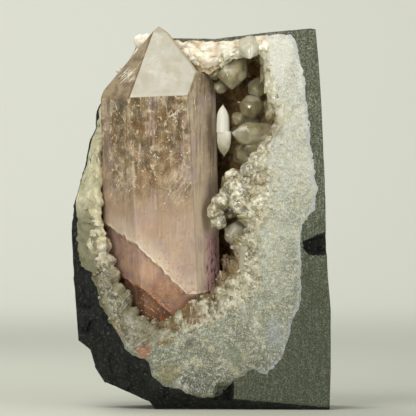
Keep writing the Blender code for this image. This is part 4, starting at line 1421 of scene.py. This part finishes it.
def sliver(place, way, direction, long, wide, chance):
    """Rings of a thin lens: an eight-sided outline drawn in on both sides."""
    side = direction - way * (way @ direction)
    side /= np.linalg.norm(side)
    other = np.cross(way, side)
    around = np.arange(8) * math.tau / 8
    outline = np.outer(np.cos(around) * long, side) + np.outer(np.sin(around) * wide, other)
    outline *= chance.uniform(0.6, 1.2, (8, 1))
    rise = 0.05 + 0.2 * wide
    return np.array([outline * share + way * up for share, up in ((0.4, -rise), (1, 0), (0.4, rise))]) + place


def make_flakes(name, seed, swarms, spread, power, slim, placed=()):
    """Flakes in swarms, 0.06 + spread * random**power long, and those listed one by one."""
    chance = np.random.default_rng(seed)
    bodies = []
    for place, way in swarm_places(swarms, chance):
        long = 0.06 + spread * chance.random() ** power
        bodies.append(sliver(place, way, chance.normal(0, 1, 3), long, long * chance.uniform(*slim), chance))
    for (x, z), angle, long, wide in placed:
        turn = math.radians(angle)
        direction = np.array([math.cos(turn), 0, math.sin(turn)])
        bodies.append(sliver(*on_skin(x, z), direction, long, wide, chance))
    return piece_from_many(name, bodies, sharp=0)


rust_grains = make_flakes("rust_grains", 3, RUST_SWARMS, 0.24, 2, (0.4, 1.0))
painted_glint_slivers = make_flakes("painted_glint_slivers", 6, PAINTED_GLINT_SWARMS, 0.30, 3, (0.2, 0.7), SLIVERS)
dark_cracks = make_flakes("dark_cracks", 6, [], 0.30, 3, (0.2, 0.7), DARK_SLIVERS)

# %% [markdown]
# ## Finishes
#
# Basalt sawn across shows its grains, light and dark, with the faint upright marks of the saw. Broken, it is
# nearly black, with a paler fleck here and there.

# %% Basalt
def basalt_finish():
    """Two kinds of rock surface, mixed by the mask that says where it was sawn."""
    finish = Finish("basalt")
    sawn = finish.value("sawn")
    grain = finish.noise(0.42, 4, roughness=0.72)
    saw = finish.noise(0.40, 3, stretch=(1, 1, 0.06))
    cloud = finish.noise(9, 3)
    flat = finish.ramp(grain, [(0.34, (44, 48, 36)), (0.5, (98, 102, 84)), (0.66, (172, 176, 158))])
    flat = flat.coat(saw.between(0.42, 0.64) * 0.50, (68, 72, 56))
    flat = flat.coat(saw.between(0.42, 0.30) * 0.35, (140, 144, 124))
    flat = flat.coat(cloud.between(0.35, 0.75) * 0.35, (80, 86, 66))
    # Painted shade: the sawn face is darker towards the foot, where the light from above falls off.
    flat = flat.coat(finish.z.between(0.070, 0.020) * 0.45, (60, 65, 48))
    fleck = finish.noise(0.7, 5, roughness=0.7)
    dark = finish.ramp(fleck, [(0.35, (7, 9, 7)), (0.56, (19, 22, 18)), (0.70, (92, 96, 84))])
    dark = dark.coat(cloud.between(0.5, 0.75) * 0.4, (36, 40, 33))
    edge = (sawn + (grain - 0.5) * 0.5).between(0.4, 0.6)
    normal = finish.bump(finish.noise(0.6, 6, roughness=0.8), 0.45)
    inputs = {"Base Color": finish.mix(edge, dark, flat), "Roughness": 0.58 + edge * 0.25, "Normal": normal}
    return finish.output(finish.principled(inputs | {"Specular IOR Level": 0.3}))


basalt = basalt_finish()
print("nodes in the basalt:", len(basalt.node_tree.nodes))

# %% [markdown]
# Stains and shaded places are soft spots broken up by noise, each with its centre, half width and half
# height, colour and strength. Some shaded places are painted shade in dark recesses of the crust, and the
# others brown and golden tints.

# %% Stains and shaded places
STAINS = [
    ((9.6, 14.4), (3.6, 3.8), (118, 126, 102), 0.75),
    ((-8.4, 9.9), (3.6, 3.4), (128, 118, 66), 0.65),
    ((20.3, 20.5), (3.0, 4.6), (150, 158, 170), 0.50),
    ((-15.3, 16.7), (2.4, 2.8), (166, 78, 10), 0.95),
    ((1.5, 93.0), (6.0, 1.8), (176, 146, 100), 0.70),
    ((-22.3, 22.3), (2.4, 3.0), (134, 84, 38), 0.85),
    ((-27.4, 41.0), (1.0, 1.4), (62, 44, 26), 0.95),
    ((-3.0, 17.6), (1.2, 1.6), (66, 52, 34), 0.9),
    ((-10.0, 18.5), (2.6, 1.6), (176, 140, 84), 0.6),
    ((20.6, 76.0), (2.6, 3.2), (150, 134, 98), 0.7),
    ((-17.0, 19.6), (3.0, 1.6), (150, 118, 74), 0.7),
]
# The first, fourth and fifth rows are painted shade in dark recesses of the crust, the fourth reddish too;
# the others tint it brown and golden.
PAINTED_SHADE_AND_TINTS = [
    ((17.6, 76.6), (4.2, 3.6), (96, 72, 40), 0.8),
    ((1.5, 92.2), (5.0, 2.4), (156, 124, 78), 0.8),
    ((16.0, 61.4), (2.8, 2.2), (140, 112, 66), 0.7),
    ((6.8, 39.4), (3.4, 5.0), (112, 76, 46), 0.8),
    ((7.6, 52.6), (1.8, 3.0), (96, 74, 44), 0.8),
    ((-2.0, 27.6), (4.0, 1.6), (118, 92, 52), 0.7),
    ((4.2, 30.6), (3.6, 1.4), (132, 108, 64), 0.6),
    ((-10.6, 22.2), (3.0, 1.4), (104, 78, 42), 0.7),
    ((16.4, 51.6), (2.6, 3.0), (150, 132, 92), 0.5),
]


def spot(finish, centre, size):
    """A mottled patch: it fades with (dx/a)**2 + (dz/b)**2, and noise opens it up all over."""
    dx = (finish.x - centre[0] * MM) * (1 / (size[0] * MM))
    dz = (finish.z - centre[1] * MM) * (1 / (size[1] * MM))
    islands = finish.noise(1.1, 6, roughness=0.8)
    fading = (dx * dx + dz * dz + (islands - 0.5) * 2.5).between(1.25, 0.1)
    return fading * (islands.between(0.42, 0.58) * 0.6 + 0.4)


def spotted(finish, base, spots):
    """The colour with every spot's own tint mixed in."""
    for centre, size, tint, share in spots:
        base = base.coat(spot(finish, centre, size) * share, tint)
    return base


print(len(STAINS), "stains on the lining,", len(PAINTED_SHADE_AND_TINTS), "shaded places in the crust")

# %% [markdown]
# Dark specks are the gaps between the grains. The crust starts from the same quartz, so that the two run into
# each other without a line.


# %% Lining
def granular_quartz(finish):
    """White at the top and greyer lower down, with pale grains, cloudy patches and dark specks."""
    z = finish.z
    # Partly painted shade: the ramp and the patches grow darker downwards, as the light from above falls off.
    base = finish.ramp(z * (1 / 0.104), [
        (0.05, (62, 64, 44)), (0.16, (120, 122, 99)), (0.42, (164, 166, 146)),
        (0.72, (188, 188, 174)), (0.90, (206, 206, 194)),
    ])
    low = z.between(0.062, 0.020)
    cloud = finish.noise(7.0, 5, stretch=(1, 1, 0.7), roughness=0.6)
    base = base.coat(cloud.between(0.48, 0.62) * (0.30 + low * 0.40), (108, 112, 88))
    base = base.coat(cloud.between(0.46, 0.34) * (0.20 + low * 0.30), (208, 208, 196))
    yellow = finish.noise(3.6, 4, roughness=0.6).between(0.52, 0.66)
    base = base.coat(yellow * 0.5, (188, 178, 138))
    brushed = finish.noise(1.1, 6, stretch=(0.85, 1, 1.1), roughness=0.8)
    base = base.coat(brushed.between(0.50, 0.62) * 0.36, (226, 226, 218))
    base = base.coat(brushed.between(0.46, 0.36) * (0.22 + low * 0.35), (98, 102, 80))
    grain = finish.noise(0.34, 4, roughness=0.7)
    base = base.coat(grain.between(0.53, 0.64) * 0.50, (238, 238, 231))
    dense = cloud.between(0.30, 0.65) * 0.40 + 0.38
    return base.coat(grain.between(0.45, 0.36) * dense * z.between(0.104, 0.085), (56, 60, 44))


def lining_finish():
    """Grey specks, bluish along the edge, golden lumps at the top, and the stains."""
    finish = Finish("white_quartz")
    x, z = finish.x, finish.z
    base = granular_quartz(finish)
    left = x.between(-0.020, -0.026)
    base = base.coat(left * 0.8, (174, 168, 134))
    streaks = finish.noise(1.8, 5, stretch=(1, 1, 0.35), roughness=0.65)
    base = base.coat(left * streaks.between(0.50, 0.62) * 0.6, (216, 213, 188))
    base = base.coat(left * streaks.between(0.46, 0.36) * 0.6, (138, 136, 98))
    base = base.coat(left * z.between(0.058, 0.050) * 0.85, (106, 103, 76))
    low_edge = finish.value("border").between(0.2, 0.9) * z.between(0.045, 0.020)
    base = base.coat(low_edge * 0.45, (104, 108, 86))
    border = (finish.value("border") + finish.noise(1.2, 4) - 0.5).between(0.25, 1.0)
    border = border * x.between(0.012, 0.020)
    base = base.coat(border * finish.noise(1.4, 4).between(0.36, 0.60) * 0.85, (170, 175, 186))
    lumpy = finish.value("lumpy")
    gold = finish.noise(2.4, 4).between(0.44, 0.62)
    base = base.coat(lumpy * 0.75, (236, 231, 214))
    base = base.coat(lumpy * gold * 0.45, (206, 176, 126))
    base = base.coat(finish.value("groove") * 0.60, (176, 138, 88))
    base = spotted(finish, base, STAINS)
    normal = finish.bump(finish.noise(0.4, 4, roughness=0.75), 0.2)
    return finish.output(finish.principled({"Base Color": base, "Roughness": 0.5, "Normal": normal}))


white_quartz = lining_finish()
print("nodes in the lining:", len(white_quartz.node_tree.nodes))

# %% [markdown]
# The crust is clear in places and milky in others: pale at the front, golden and then brown where the hollow
# is deep, partly as staining and partly as painted shade. Its crevices get painted shade too.

# %% Crust
CLEAR = {"Roughness": 0.04, "IOR": 1.544, "Transmission Weight": 1.0}


def low_left(finish):
    """1 in the crust's dull lower left, 0 elsewhere."""
    return finish.x.between(-0.004, -0.016) * finish.z.between(0.050, 0.030)


def golden_floor(finish, top):
    """Patches on the floor of the hollow, which thin out over the 12 mm below that height."""
    patches = finish.noise(3.0, 4).between(0.38, 0.56) * finish.z.between(top, top - 0.012)
    return patches * finish.x.between(-0.020, -0.008) * finish.x.between(0.009, 0.001)


def crust_finish():
    """Milky quartz mixed with clear: browner with depth, as staining and partly as painted shade, and with
    painted shade in the crevices.
    """
    finish = Finish("druse_quartz")
    inside, dull = finish.value("inside").between(0.0, 0.6), low_left(finish)
    patches = (finish.noise(2.8, 5, roughness=0.65) + finish.value("tint") * 0.10).between(0.38, 0.60)
    base = finish.mix(patches, (230, 225, 203), (172, 160, 120))
    base = finish.mix((inside * 0.5 + 0.5) * (1 - dull * 0.6), granular_quartz(finish), base)
    base = base.coat(golden_floor(finish, 0.044) * 0.95, (108, 84, 44))
    # Partly painted shade: golden and then brown with depth in the hollow, over a real brown staining.
    base = base.coat(finish.y.between(-0.009, 0.001) * 0.75, (172, 146, 98))
    base = base.coat(finish.y.between(-0.002, 0.010) * 0.8, (152, 116, 68))
    base = spotted(finish, base, PAINTED_SHADE_AND_TINTS)
    # Painted shade in the crevices between the points.
    base = base.coat(finish.value("crevice") * (inside * 0.25 + 0.15), (118, 98, 60))
    left = finish.x.between(-0.020, -0.026)
    base = base.coat(left * finish.z.between(0.044, 0.052) * 0.8, (188, 182, 146))
    base = base.coat(dull * 0.6, (104, 99, 72))
    normal = finish.bump(finish.noise(0.5, 4, roughness=0.6), 0.08)
    milky = finish.principled({"Base Color": base, "Roughness": 0.16, "Normal": normal})
    clear = finish.principled(CLEAR | {"Base Color": (0.95, 0.92, 0.84, 1)})
    share = finish.noise(2.2, 2).between(0.42, 0.66) * (inside * 0.3 + 0.15)
    return finish.output(finish.blend(share, milky, clear))


druse_quartz = crust_finish()
print("nodes in the crust:", len(druse_quartz.node_tree.nodes))

# %% [markdown]
# Three finishes more: half glassy columns at the top, smooth olive-grey crystals that are largely clear, and
# fine frosty ones.


# %% Crystals of the crust and columns of the lining
def knob_finish():
    """White, half glassy columns with gold towards their lower ends."""
    finish = Finish("knob_quartz")
    gold = finish.noise(2.0, 4).between(0.44, 0.62)
    base = finish.mix(gold * 0.45, (232, 228, 212), (200, 174, 126))
    base = base.coat(finish.z.between(0.097, 0.092) * 0.45, (172, 146, 100))
    normal = finish.bump(finish.noise(0.6, 4, roughness=0.6), 0.12)
    return finish.output(finish.principled({"Base Color": base, "Roughness": 0.30, "Normal": normal}))


def crystal_finish():
    """Smooth olive-grey quartz, largely clear, with white crystals among it."""
    finish = Finish("clear_quartz")
    white = finish.value("white")
    base = finish.mix(finish.noise(4.0, 2).between(0.35, 0.7), (172, 162, 124), (212, 206, 180))
    base = base.coat(white, (212, 209, 196))
    normal = finish.bump(finish.noise(1.6, 3), 0.05)
    milky = finish.principled({"Base Color": base, "Roughness": 0.12, "Normal": normal})
    clear = finish.principled(CLEAR | {"Base Color": (0.96, 0.94, 0.86, 1), "Roughness": 0.08})
    share = (finish.noise(3.0, 2).between(0.35, 0.65) * 0.25 + 0.35) * (1 - white * 0.9)
    volume = finish.add("ShaderNodeVolumeAbsorption", {}, {"Color": (0.72, 0.65, 0.46, 1), "Density": 90.0})
    return finish.output(finish.blend(share, milky, clear), volume)


def frosty_finish():
    """Fine crystals, white to olive-grey, half clear and glittering."""
    finish = Finish("frosty_quartz")
    # The knobs' tint number carries a little painted shade in their low places.
    tint = (finish.value("tint") * 0.12 + finish.noise(2.8, 5, roughness=0.65)).between(0.38, 0.60)
    base = finish.mix(tint, (228, 223, 203), (174, 163, 126))
    base = base.coat(low_left(finish) * 0.6, (116, 110, 82))
    base = base.coat(golden_floor(finish, 0.046) * 0.85, (120, 96, 54))
    # Partly painted shade: browner deeper in the hollow, over a real brown staining.
    base = base.coat(finish.y.between(-0.009, 0.003) * 0.7, (160, 134, 88))
    base = spotted(finish, base, PAINTED_SHADE_AND_TINTS)
    milky = finish.principled({"Base Color": base, "Roughness": 0.10})
    clear = finish.principled(CLEAR | {"Base Color": (0.97, 0.96, 0.90, 1)})
    share = finish.noise(1.6, 3).between(0.36, 0.62) * 0.72
    return finish.output(finish.blend(share, milky, clear))


knob_quartz, clear_quartz, frosty_quartz = knob_finish(), crystal_finish(), frosty_finish()
print("finishes so far:", [material.name for material in bpy.data.materials])

# %% [markdown]
# The amethyst is clear inside, and brown rather than purple, with a milky skin. Feathery veils flash back the
# light, as healed cracks do. Several colours share the same masks.

# %% Patterns of the amethyst
VEILS = [
    ((-19.8, 90.6), (3.0, 2.4), 0.58, 0.8),
    ((-20.6, 61.5), (3.6, 3.8), 0.9, 0.45),
    ((-5.4, 60.6), (5.0, 6.0), 1.0, 0.45),
    ((-2.2, 82.6), (1.5, 4.4), 1.45, 0.6),
    ((-13.4, 94.6), (4.0, 4.0), 0.7, 0.25),
    ((-13.0, 70.0), (5.0, 2.6), 0.3, 0.35),
]
RUST_HAZE = [
    ((-9.5, 33.0), (5.0, 4.0)), ((-15.0, 37.5), (5.0, 3.0)),
    ((-7.0, 42.0), (3.0, 4.0)), ((-13.0, 49.0), (5.0, 3.5)),
]


class CrystalFinish(Finish):
    """The large crystal's material, with the masks and patterns its colours share."""

    def __init__(self):
        super().__init__("amethyst")
        self.up = self.value("up")
        self.upper = self.up.between(0.52, 0.68)
        self.tip = self.value("tip").between(-0.08, 0.08)
        self.frost = self.value("frost").between(-0.08, 0.08)
        self.front = 1 - self.value("right_face")
        self.cloud = self.noise(5.0, 3, stretch=(1, 0.35, 0.7))
        self.patch = self.noise(2.6, 4, stretch=(1, 0.35, 0.8), roughness=0.6)
        self.streak = self.noise(0.7, 5, stretch=(1, 0.4, 0.07), roughness=0.7)
        self.fine = self.noise(0.5, 5, stretch=(1, 0.4, 0.6), roughness=0.8)
        self.lilac = self.noise(3.4, 3, stretch=(1, 0.35, 0.5)).between(0.50, 0.66)
        self.veil = self.noise(4.2, 4, stretch=(1, 0.4, 1), roughness=0.65).between(0.52, 0.66)


print(len(VEILS), "feathery veils and", len(RUST_HAZE), "patches of rusty haze")

# %% [markdown]
# The column is smoky at the top and pinkish beige at the foot. Over that lie upright streaks, fine speckle
# and crooked cracks, drawn out along the crystal.


# %% Colours of the column
def column_colour(finish):
    """Brown to pinkish beige from the tip down, with olive, pale and lilac patches."""
    patch, upper = finish.patch, finish.upper
    body = finish.ramp(finish.up + (finish.cloud - 0.5) * 0.10, [
        (0.30, (164, 138, 126)), (0.40, (182, 160, 143)), (0.50, (174, 151, 130)),
        (0.60, (154, 128, 98)), (0.72, (132, 108, 75)), (0.86, (108, 90, 58)),
    ])
    olive = finish.mix(finish.cloud.between(0.40, 0.60), (98, 86, 54), (112, 80, 50))
    dark = patch.between(0.54, 0.38) * (upper * 0.80 + 0.05) * (finish.front * 0.6 + 0.4)
    body = finish.mix(dark, body, olive)
    body = body.coat(patch.between(0.52, 0.66) * upper * 0.6, (188, 168, 138))
    body = body.coat(finish.lilac * 0.45, (164, 142, 142))
    body = body.coat(finish.value("left_band") * 0.45, (198, 170, 152))
    return body.coat(finish.value("ledge") * 0.55, (226, 208, 184))


def layered_colour(finish):
    """The column's colour above the upper step, and those of the two inner layers below it."""
    patch = finish.patch.between(0.4, 0.6)
    inner = finish.mix(patch, (176, 146, 124), (158, 126, 120))
    deepest = finish.mix(patch, (150, 116, 94), (116, 78, 58))
    base = finish.mix(finish.value("first"), inner, column_colour(finish))
    return finish.mix(finish.value("second"), deepest, base)


def streaked(finish, base):
    """The colour with fibres, veils, upright streaks, fine speckle and thin crooked cracks."""
    upper, streak, fine = finish.upper, finish.streak, finish.fine
    fibre = finish.noise(0.6, 3, stretch=(1, 0.4, 0.16), roughness=0.6)
    base = base.coat(fibre.between(0.45, 0.65) * (0.12 - upper * 0.10), (222, 200, 178))
    base = base.coat(finish.veil * upper * 0.35, (214, 200, 174))
    dark = streak.between(0.48, 0.36) * (upper * 0.35 + 0.45 - finish.front * 0.33)
    base = base.coat(dark, (98, 74, 54))
    base = base.coat(streak.between(0.52, 0.64) * (upper * 0.20 + 0.15), (218, 200, 174))
    base = base.coat(fine.between(0.54, 0.68) * (upper * 0.35 + 0.10), (228, 212, 184))
    base = base.coat(fine.between(0.44, 0.32) * (upper * 0.40 + 0.05), (90, 66, 44))
    crack = finish.noise(3.0, 4, stretch=(1, 0.4, 0.7), roughness=0.6) - 0.5
    crack = (crack * crack).between(0.0006, 0.0) * finish.noise(1.7, 3).between(0.50, 0.60)
    return base.coat(crack * (upper * 0.55 + 0.05), (240, 226, 196))


print("steps that change the column's tone:", len(STEPS))

# %% [markdown]
# The front of the tip is frosted, the slanting face at its left is not. Lower down come rust, the raised
# rims, a pitted lilac flank and the right face, made paler as painted light.


# %% Colours of the tip, the steps and the right side
def frosted_face(finish):
    """Cloudy grey-white, a little bluish, and browner at the very top."""
    cloudy = finish.noise(3.2, 4).between(0.35, 0.7) * 0.7
    frosted = finish.mix(cloudy, (182, 179, 166), (168, 160, 138))
    bluish = finish.noise(2.4, 3, stretch=(1, 0.5, 0.4)).between(0.54, 0.70)
    frosted = frosted.coat(bluish * 0.35, (160, 166, 160))
    frosted = frosted.coat(finish.veil * 0.4, (206, 202, 190))
    return frosted.coat(finish.up.between(1.020, 1.027) * 0.6, (150, 138, 114))


def slanting_face(finish):
    """Dull brown in patches, darker along the ridge."""
    slope = finish.mix(finish.patch.between(0.36, 0.60), (98, 80, 54), (136, 119, 90))
    slope = slope.coat(finish.fine.between(0.50, 0.66) * 0.25, (176, 160, 130))
    return slope.coat(finish.value("ridge") * 0.7, (94, 68, 40))


def veiled(finish, base, slope):
    """Both colours with the feathery veils, each at its own slant."""
    for centre, size, turn, share in VEILS:
        feather = finish.noise(0.55, 5, stretch=(0.16, 0.4, 1), roughness=0.7, turn=turn).between(0.44, 0.62)
        feather = feather * spot(finish, centre, size) * share
        base = base.coat(feather, (232, 222, 202))
        slope = slope.coat(feather, (244, 238, 222))
    return base, slope


def rusted(finish, base):
    """Dark at the foot of each inner layer, hazed with rust, with the rims picked out."""
    low = finish.up.between(0.37, 0.29) * (1 - finish.value("first"))
    base = base.coat(low * 0.65, (116, 88, 70))
    lowest = finish.up.between(0.30, 0.24) * (1 - finish.value("second"))
    base = base.coat(lowest * 0.75, (78, 48, 28))
    for centre, size in RUST_HAZE:
        haze = finish.noise(0.6, 5, roughness=0.8).between(0.46, 0.62) * spot(finish, centre, size)
        base = base.coat(haze * 0.45, (196, 134, 86))
    base = base.coat(finish.value("rim_upper") * 0.7, (226, 208, 180))
    base = base.coat(finish.value("rim_lower") * 0.75, (190, 122, 72))
    rusty = finish.noise(1.6, 5, roughness=0.65).between(0.50, 0.64) * finish.up.between(0.38, 0.28)
    return base.coat(rusty * finish.x.between(-0.020, -0.008) * 0.8, (150, 84, 42))


def right_side(finish, base):
    """The pitted lilac flank, painted highlights on the upright edges, the right face made paler as painted
    light, and the corner on its shoulder.
    """
    flank = finish.value("flank")
    base = base.coat(flank * 0.8, (212, 172, 176))
    base = base.coat(finish.value("pits") * 0.85, (70, 46, 48))
    # Painted highlight along the upright edges between the column's faces.
    edge = finish.value("edge") * finish.value("first") * (1 - finish.tip)
    base = base.coat(edge * 0.15, (226, 210, 186))
    # Painted light: the right face is made paler, standing in for light that it gets too little of.
    right = finish.value("right_face") * (1 - finish.tip) * (1 - flank)
    base = base.coat(right * (0.58 - finish.up.between(0.74, 0.92) * 0.32), (248, 228, 202))
    streaks = finish.streak.between(0.50, 0.36) * (finish.upper * 0.35 + 0.15)
    base = base.coat(right * streaks, (122, 92, 66))
    base = base.coat(right * finish.lilac * 0.45, (176, 150, 160))
    rim = finish.value("shoulder")
    base = base.coat(rim * (1 - rim) * 2.0, (150, 118, 74))
    return base.coat(rim.between(0.5, 1.0) * 0.5, (138, 122, 92))


print("veils slant by", [round(math.degrees(turn)) for _, _, turn, _ in VEILS], "degrees")

# %% [markdown]
# Last, milky and clear quartz are mixed, clearest in the upper half, with a duller surface on the slanting
# face and brown absorption inside.


# %% Amethyst
def amethyst_finish():
    """Clear smoky quartz showing through a milky skin."""
    finish = CrystalFinish()
    base = finish.mix(finish.frost, streaked(finish, layered_colour(finish)), frosted_face(finish))
    base, slope = veiled(finish, base, slanting_face(finish))
    base = right_side(finish, rusted(finish, base))
    normal = finish.bump(finish.noise(0.9, 4, stretch=(1, 1, 0.5), roughness=0.6), 0.025)
    gloss = {"Roughness": 0.24, "Specular IOR Level": 0.35, "Normal": normal}
    milky = finish.principled({"Base Color": base} | gloss)
    clear = finish.principled(CLEAR | {"Base Color": (1.0, 0.97, 0.93, 1), "Roughness": 0.18})
    opened = finish.noise(3.0, 3, stretch=(1, 0.4, 0.7)).between(0.42, 0.62)
    share = opened * (finish.upper * 0.30 + 0.10) * (1 - finish.frost) * (finish.front * 0.7 + 0.3)
    volume = finish.add("ShaderNodeVolumeAbsorption", {}, {"Color": (0.66, 0.50, 0.38, 1), "Density": 60.0})
    body = finish.blend(share, milky, clear)
    matt = {"Roughness": 0.5, "Specular IOR Level": 0.1, "Normal": normal}
    dull = finish.principled({"Base Color": slope} | matt)
    dulled = finish.tip * (1 - finish.frost)
    return finish.output(finish.blend(dulled, body, dull), volume)


def plain_finish(name, tint, roughness):
    """One colour, for the grains and flakes."""
    finish = Finish(name)
    return finish.output(finish.principled({"Base Color": colour(tint), "Roughness": roughness}))


amethyst_quartz = amethyst_finish()
rust = plain_finish("rust", (202, 142, 84), 0.6)
# Painted highlight: the slivers are near white, to stand for the glints of healed cracks.
painted_glint_finish = plain_finish("painted_glint", (240, 228, 204), 0.12)
dark_crack = plain_finish("crack_dark", (60, 34, 24), 0.3)
print("nodes in the amethyst:", len(amethyst_quartz.node_tree.nodes))

# %% [markdown]
# Every piece gets its finish, rides on the specimen and stands for the plain solid that it replaces.

# %% Put the finishes on
DRESSED = [
    (rock, basalt, "basalt_matrix", "basalt"),
    (lining, white_quartz, "quartz_lining", "white_quartz"),
    (druse, druse_quartz, "vug_crystals", "clear_quartz"),
    (large_crystals, clear_quartz, "vug_crystals", "clear_quartz"),
    (little_crystals, frosty_quartz, "vug_crystals", "clear_quartz"),
    (frosty_lumps, frosty_quartz, "vug_crystals", "clear_quartz"),
    (amethyst, amethyst_quartz, "amethyst_crystal", "amethyst"),
    (rust_grains, rust, "amethyst_crystal", "amethyst"),
    (painted_glint_slivers, painted_glint_finish, "amethyst_crystal", "amethyst"),
    (dark_cracks, dark_crack, "amethyst_crystal", "amethyst"),
    (lining_knobs, knob_quartz, "quartz_lining", "white_quartz"),
]
for piece, material, node, slot in DRESSED:
    piece.data.materials.append(material)
    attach(piece, "root")
    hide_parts(node)
print(len(DRESSED), "pieces dressed")

# %% [markdown]
# ## Floor, light and camera
#
# A pale floor sweeps up behind the specimen. The main light is near, so the top gets more of it than the
# foot.

# %% Floor
FLOOR_WIDTH = 3600.0
SWEEP_START, SWEEP_RADIUS, SWEEP_TOP = 1300.0, 500.0, 2200.0


def make_floor():
    """A profile along Y: level, then a quarter circle, then upright, carried along X. Near by it is painted
    darker, as painted shade."""
    turn = np.linspace(0, math.pi / 2, 24)
    y = np.concatenate([[-1800.0], SWEEP_START + SWEEP_RADIUS * np.sin(turn), [SWEEP_START + SWEEP_RADIUS]])
    z = np.concatenate([[0.0], SWEEP_RADIUS * (1 - np.cos(turn)), [SWEEP_TOP]])
    x = np.array([-FLOOR_WIDTH / 2, FLOOR_WIDTH / 2])
    points = np.array([[(across, a, b) for across in x] for a, b in zip(y, z)]).reshape(-1, 3)
    i = np.arange(len(y) - 1)
    quads = np.column_stack([2 * i, 2 * i + 1, 2 * i + 3, 2 * i + 2])
    floor = mesh_object("floor", points, quads, np.zeros((0, 3), int))
    finish = Finish("backdrop")
    # Painted shade: darker near by, against the pool of the near lights, and a little darker towards the
    # right.
    base = finish.mix(finish.y.between(0.0, 1.6), (191, 193, 180), (229, 230, 221))
    base = base.coat(finish.x.between(-0.05, 0.12) * 0.05, (190, 193, 176))
    floor.data.materials.append(finish.output(finish.principled({"Base Color": base, "Roughness": 0.9})))


make_floor()

# %% [markdown]
# Each light has a place, a point it is aimed at, a width, a power and a tint. Even surroundings fill the
# shadows.

# %% Lights
LIGHTS = [
    ("top_light", (-90, -150, 265), (0, 0, 60), 160, 0.44, (1.0, 0.98, 0.94)),
    ("right_light", (600, -700, 240), (0, 0, 50), 400, 2.6, (1.0, 0.99, 0.97)),
    ("front_light", (-330, -950, 190), (0, 0, 50), 260, 2.6, (1.0, 0.99, 0.96)),
    ("backdrop_light", (-300, 900, 1300), (-100, 1750, 300), 700, 9.0, (1.0, 1.0, 0.98)),
    ("back_light", (-200, 300, 380), (0, 0, 60), 250, 0.8, (1.0, 0.98, 0.95)),
]
SURROUNDINGS, SURROUNDINGS_STRENGTH = (0.88, 0.89, 0.84, 1), 0.42


def area_light(name, place, target, size, power, tint):
    """A soft square light, aimed at a point. Places are in millimetres."""
    lamp = bpy.data.lights.new(name, "AREA")
    lamp.size = size * MM
    lamp.energy = power
    lamp.color = tint
    holder = bpy.data.objects.new(name, lamp)
    holder.location = Vector(place) * MM
    holder.rotation_euler = (Vector(target) - Vector(place)).to_track_quat("-Z", "Y").to_euler()
    bpy.context.scene.collection.objects.link(holder)


def make_surroundings():
    """A world of one pale colour."""
    world = bpy.data.worlds.new("studio")
    world.use_nodes = True
    background = world.node_tree.nodes["Background"]
    background.inputs["Color"].default_value = SURROUNDINGS
    background.inputs["Strength"].default_value = SURROUNDINGS_STRENGTH
    bpy.context.scene.world = world
    bpy.context.scene.view_settings.view_transform = "Standard"


for light in LIGHTS:
    area_light(*light)
make_surroundings()
print(len(LIGHTS), "lights")

# %% [markdown]
# The camera looks level at the front, from far away. One pixel of the frame is 0.27 mm on the sawn face, and
# the middle of the base stands at pixel 200 from the left and 410 from the top, which settles lens and place.

# %% Camera
PIXEL = 0.27
FRAME_PIXELS = 416
BASE_PIXEL = (200, 410)
CAMERA_FAR = 1200.0
SENSOR = 36.0


def make_camera():
    """A long lens: focal length = sensor width * distance / width of the view."""
    lens = bpy.data.cameras.new("camera")
    lens.sensor_width = SENSOR
    lens.lens = SENSOR * (CAMERA_FAR + FACE_Y) / (FRAME_PIXELS * PIXEL)
    lens.clip_start, lens.clip_end = 0.05, 20.0
    camera = bpy.data.objects.new("camera", lens)
    across = (FRAME_PIXELS / 2 - BASE_PIXEL[0]) * PIXEL
    up = (BASE_PIXEL[1] - FRAME_PIXELS / 2) * PIXEL
    camera.location = Vector((across, -CAMERA_FAR, up)) * MM
    camera.rotation_euler = (math.pi / 2, 0, 0)
    bpy.context.scene.collection.objects.link(camera)
    bpy.context.scene.camera = camera
    print("focal length", round(lens.lens), "mm")


make_camera()

# %% [markdown]
# Last, the triangles of all the pieces are counted.

# %% Triangles in all, and the end
print("triangles in all:", sum(MESH_TOTALS.values()))
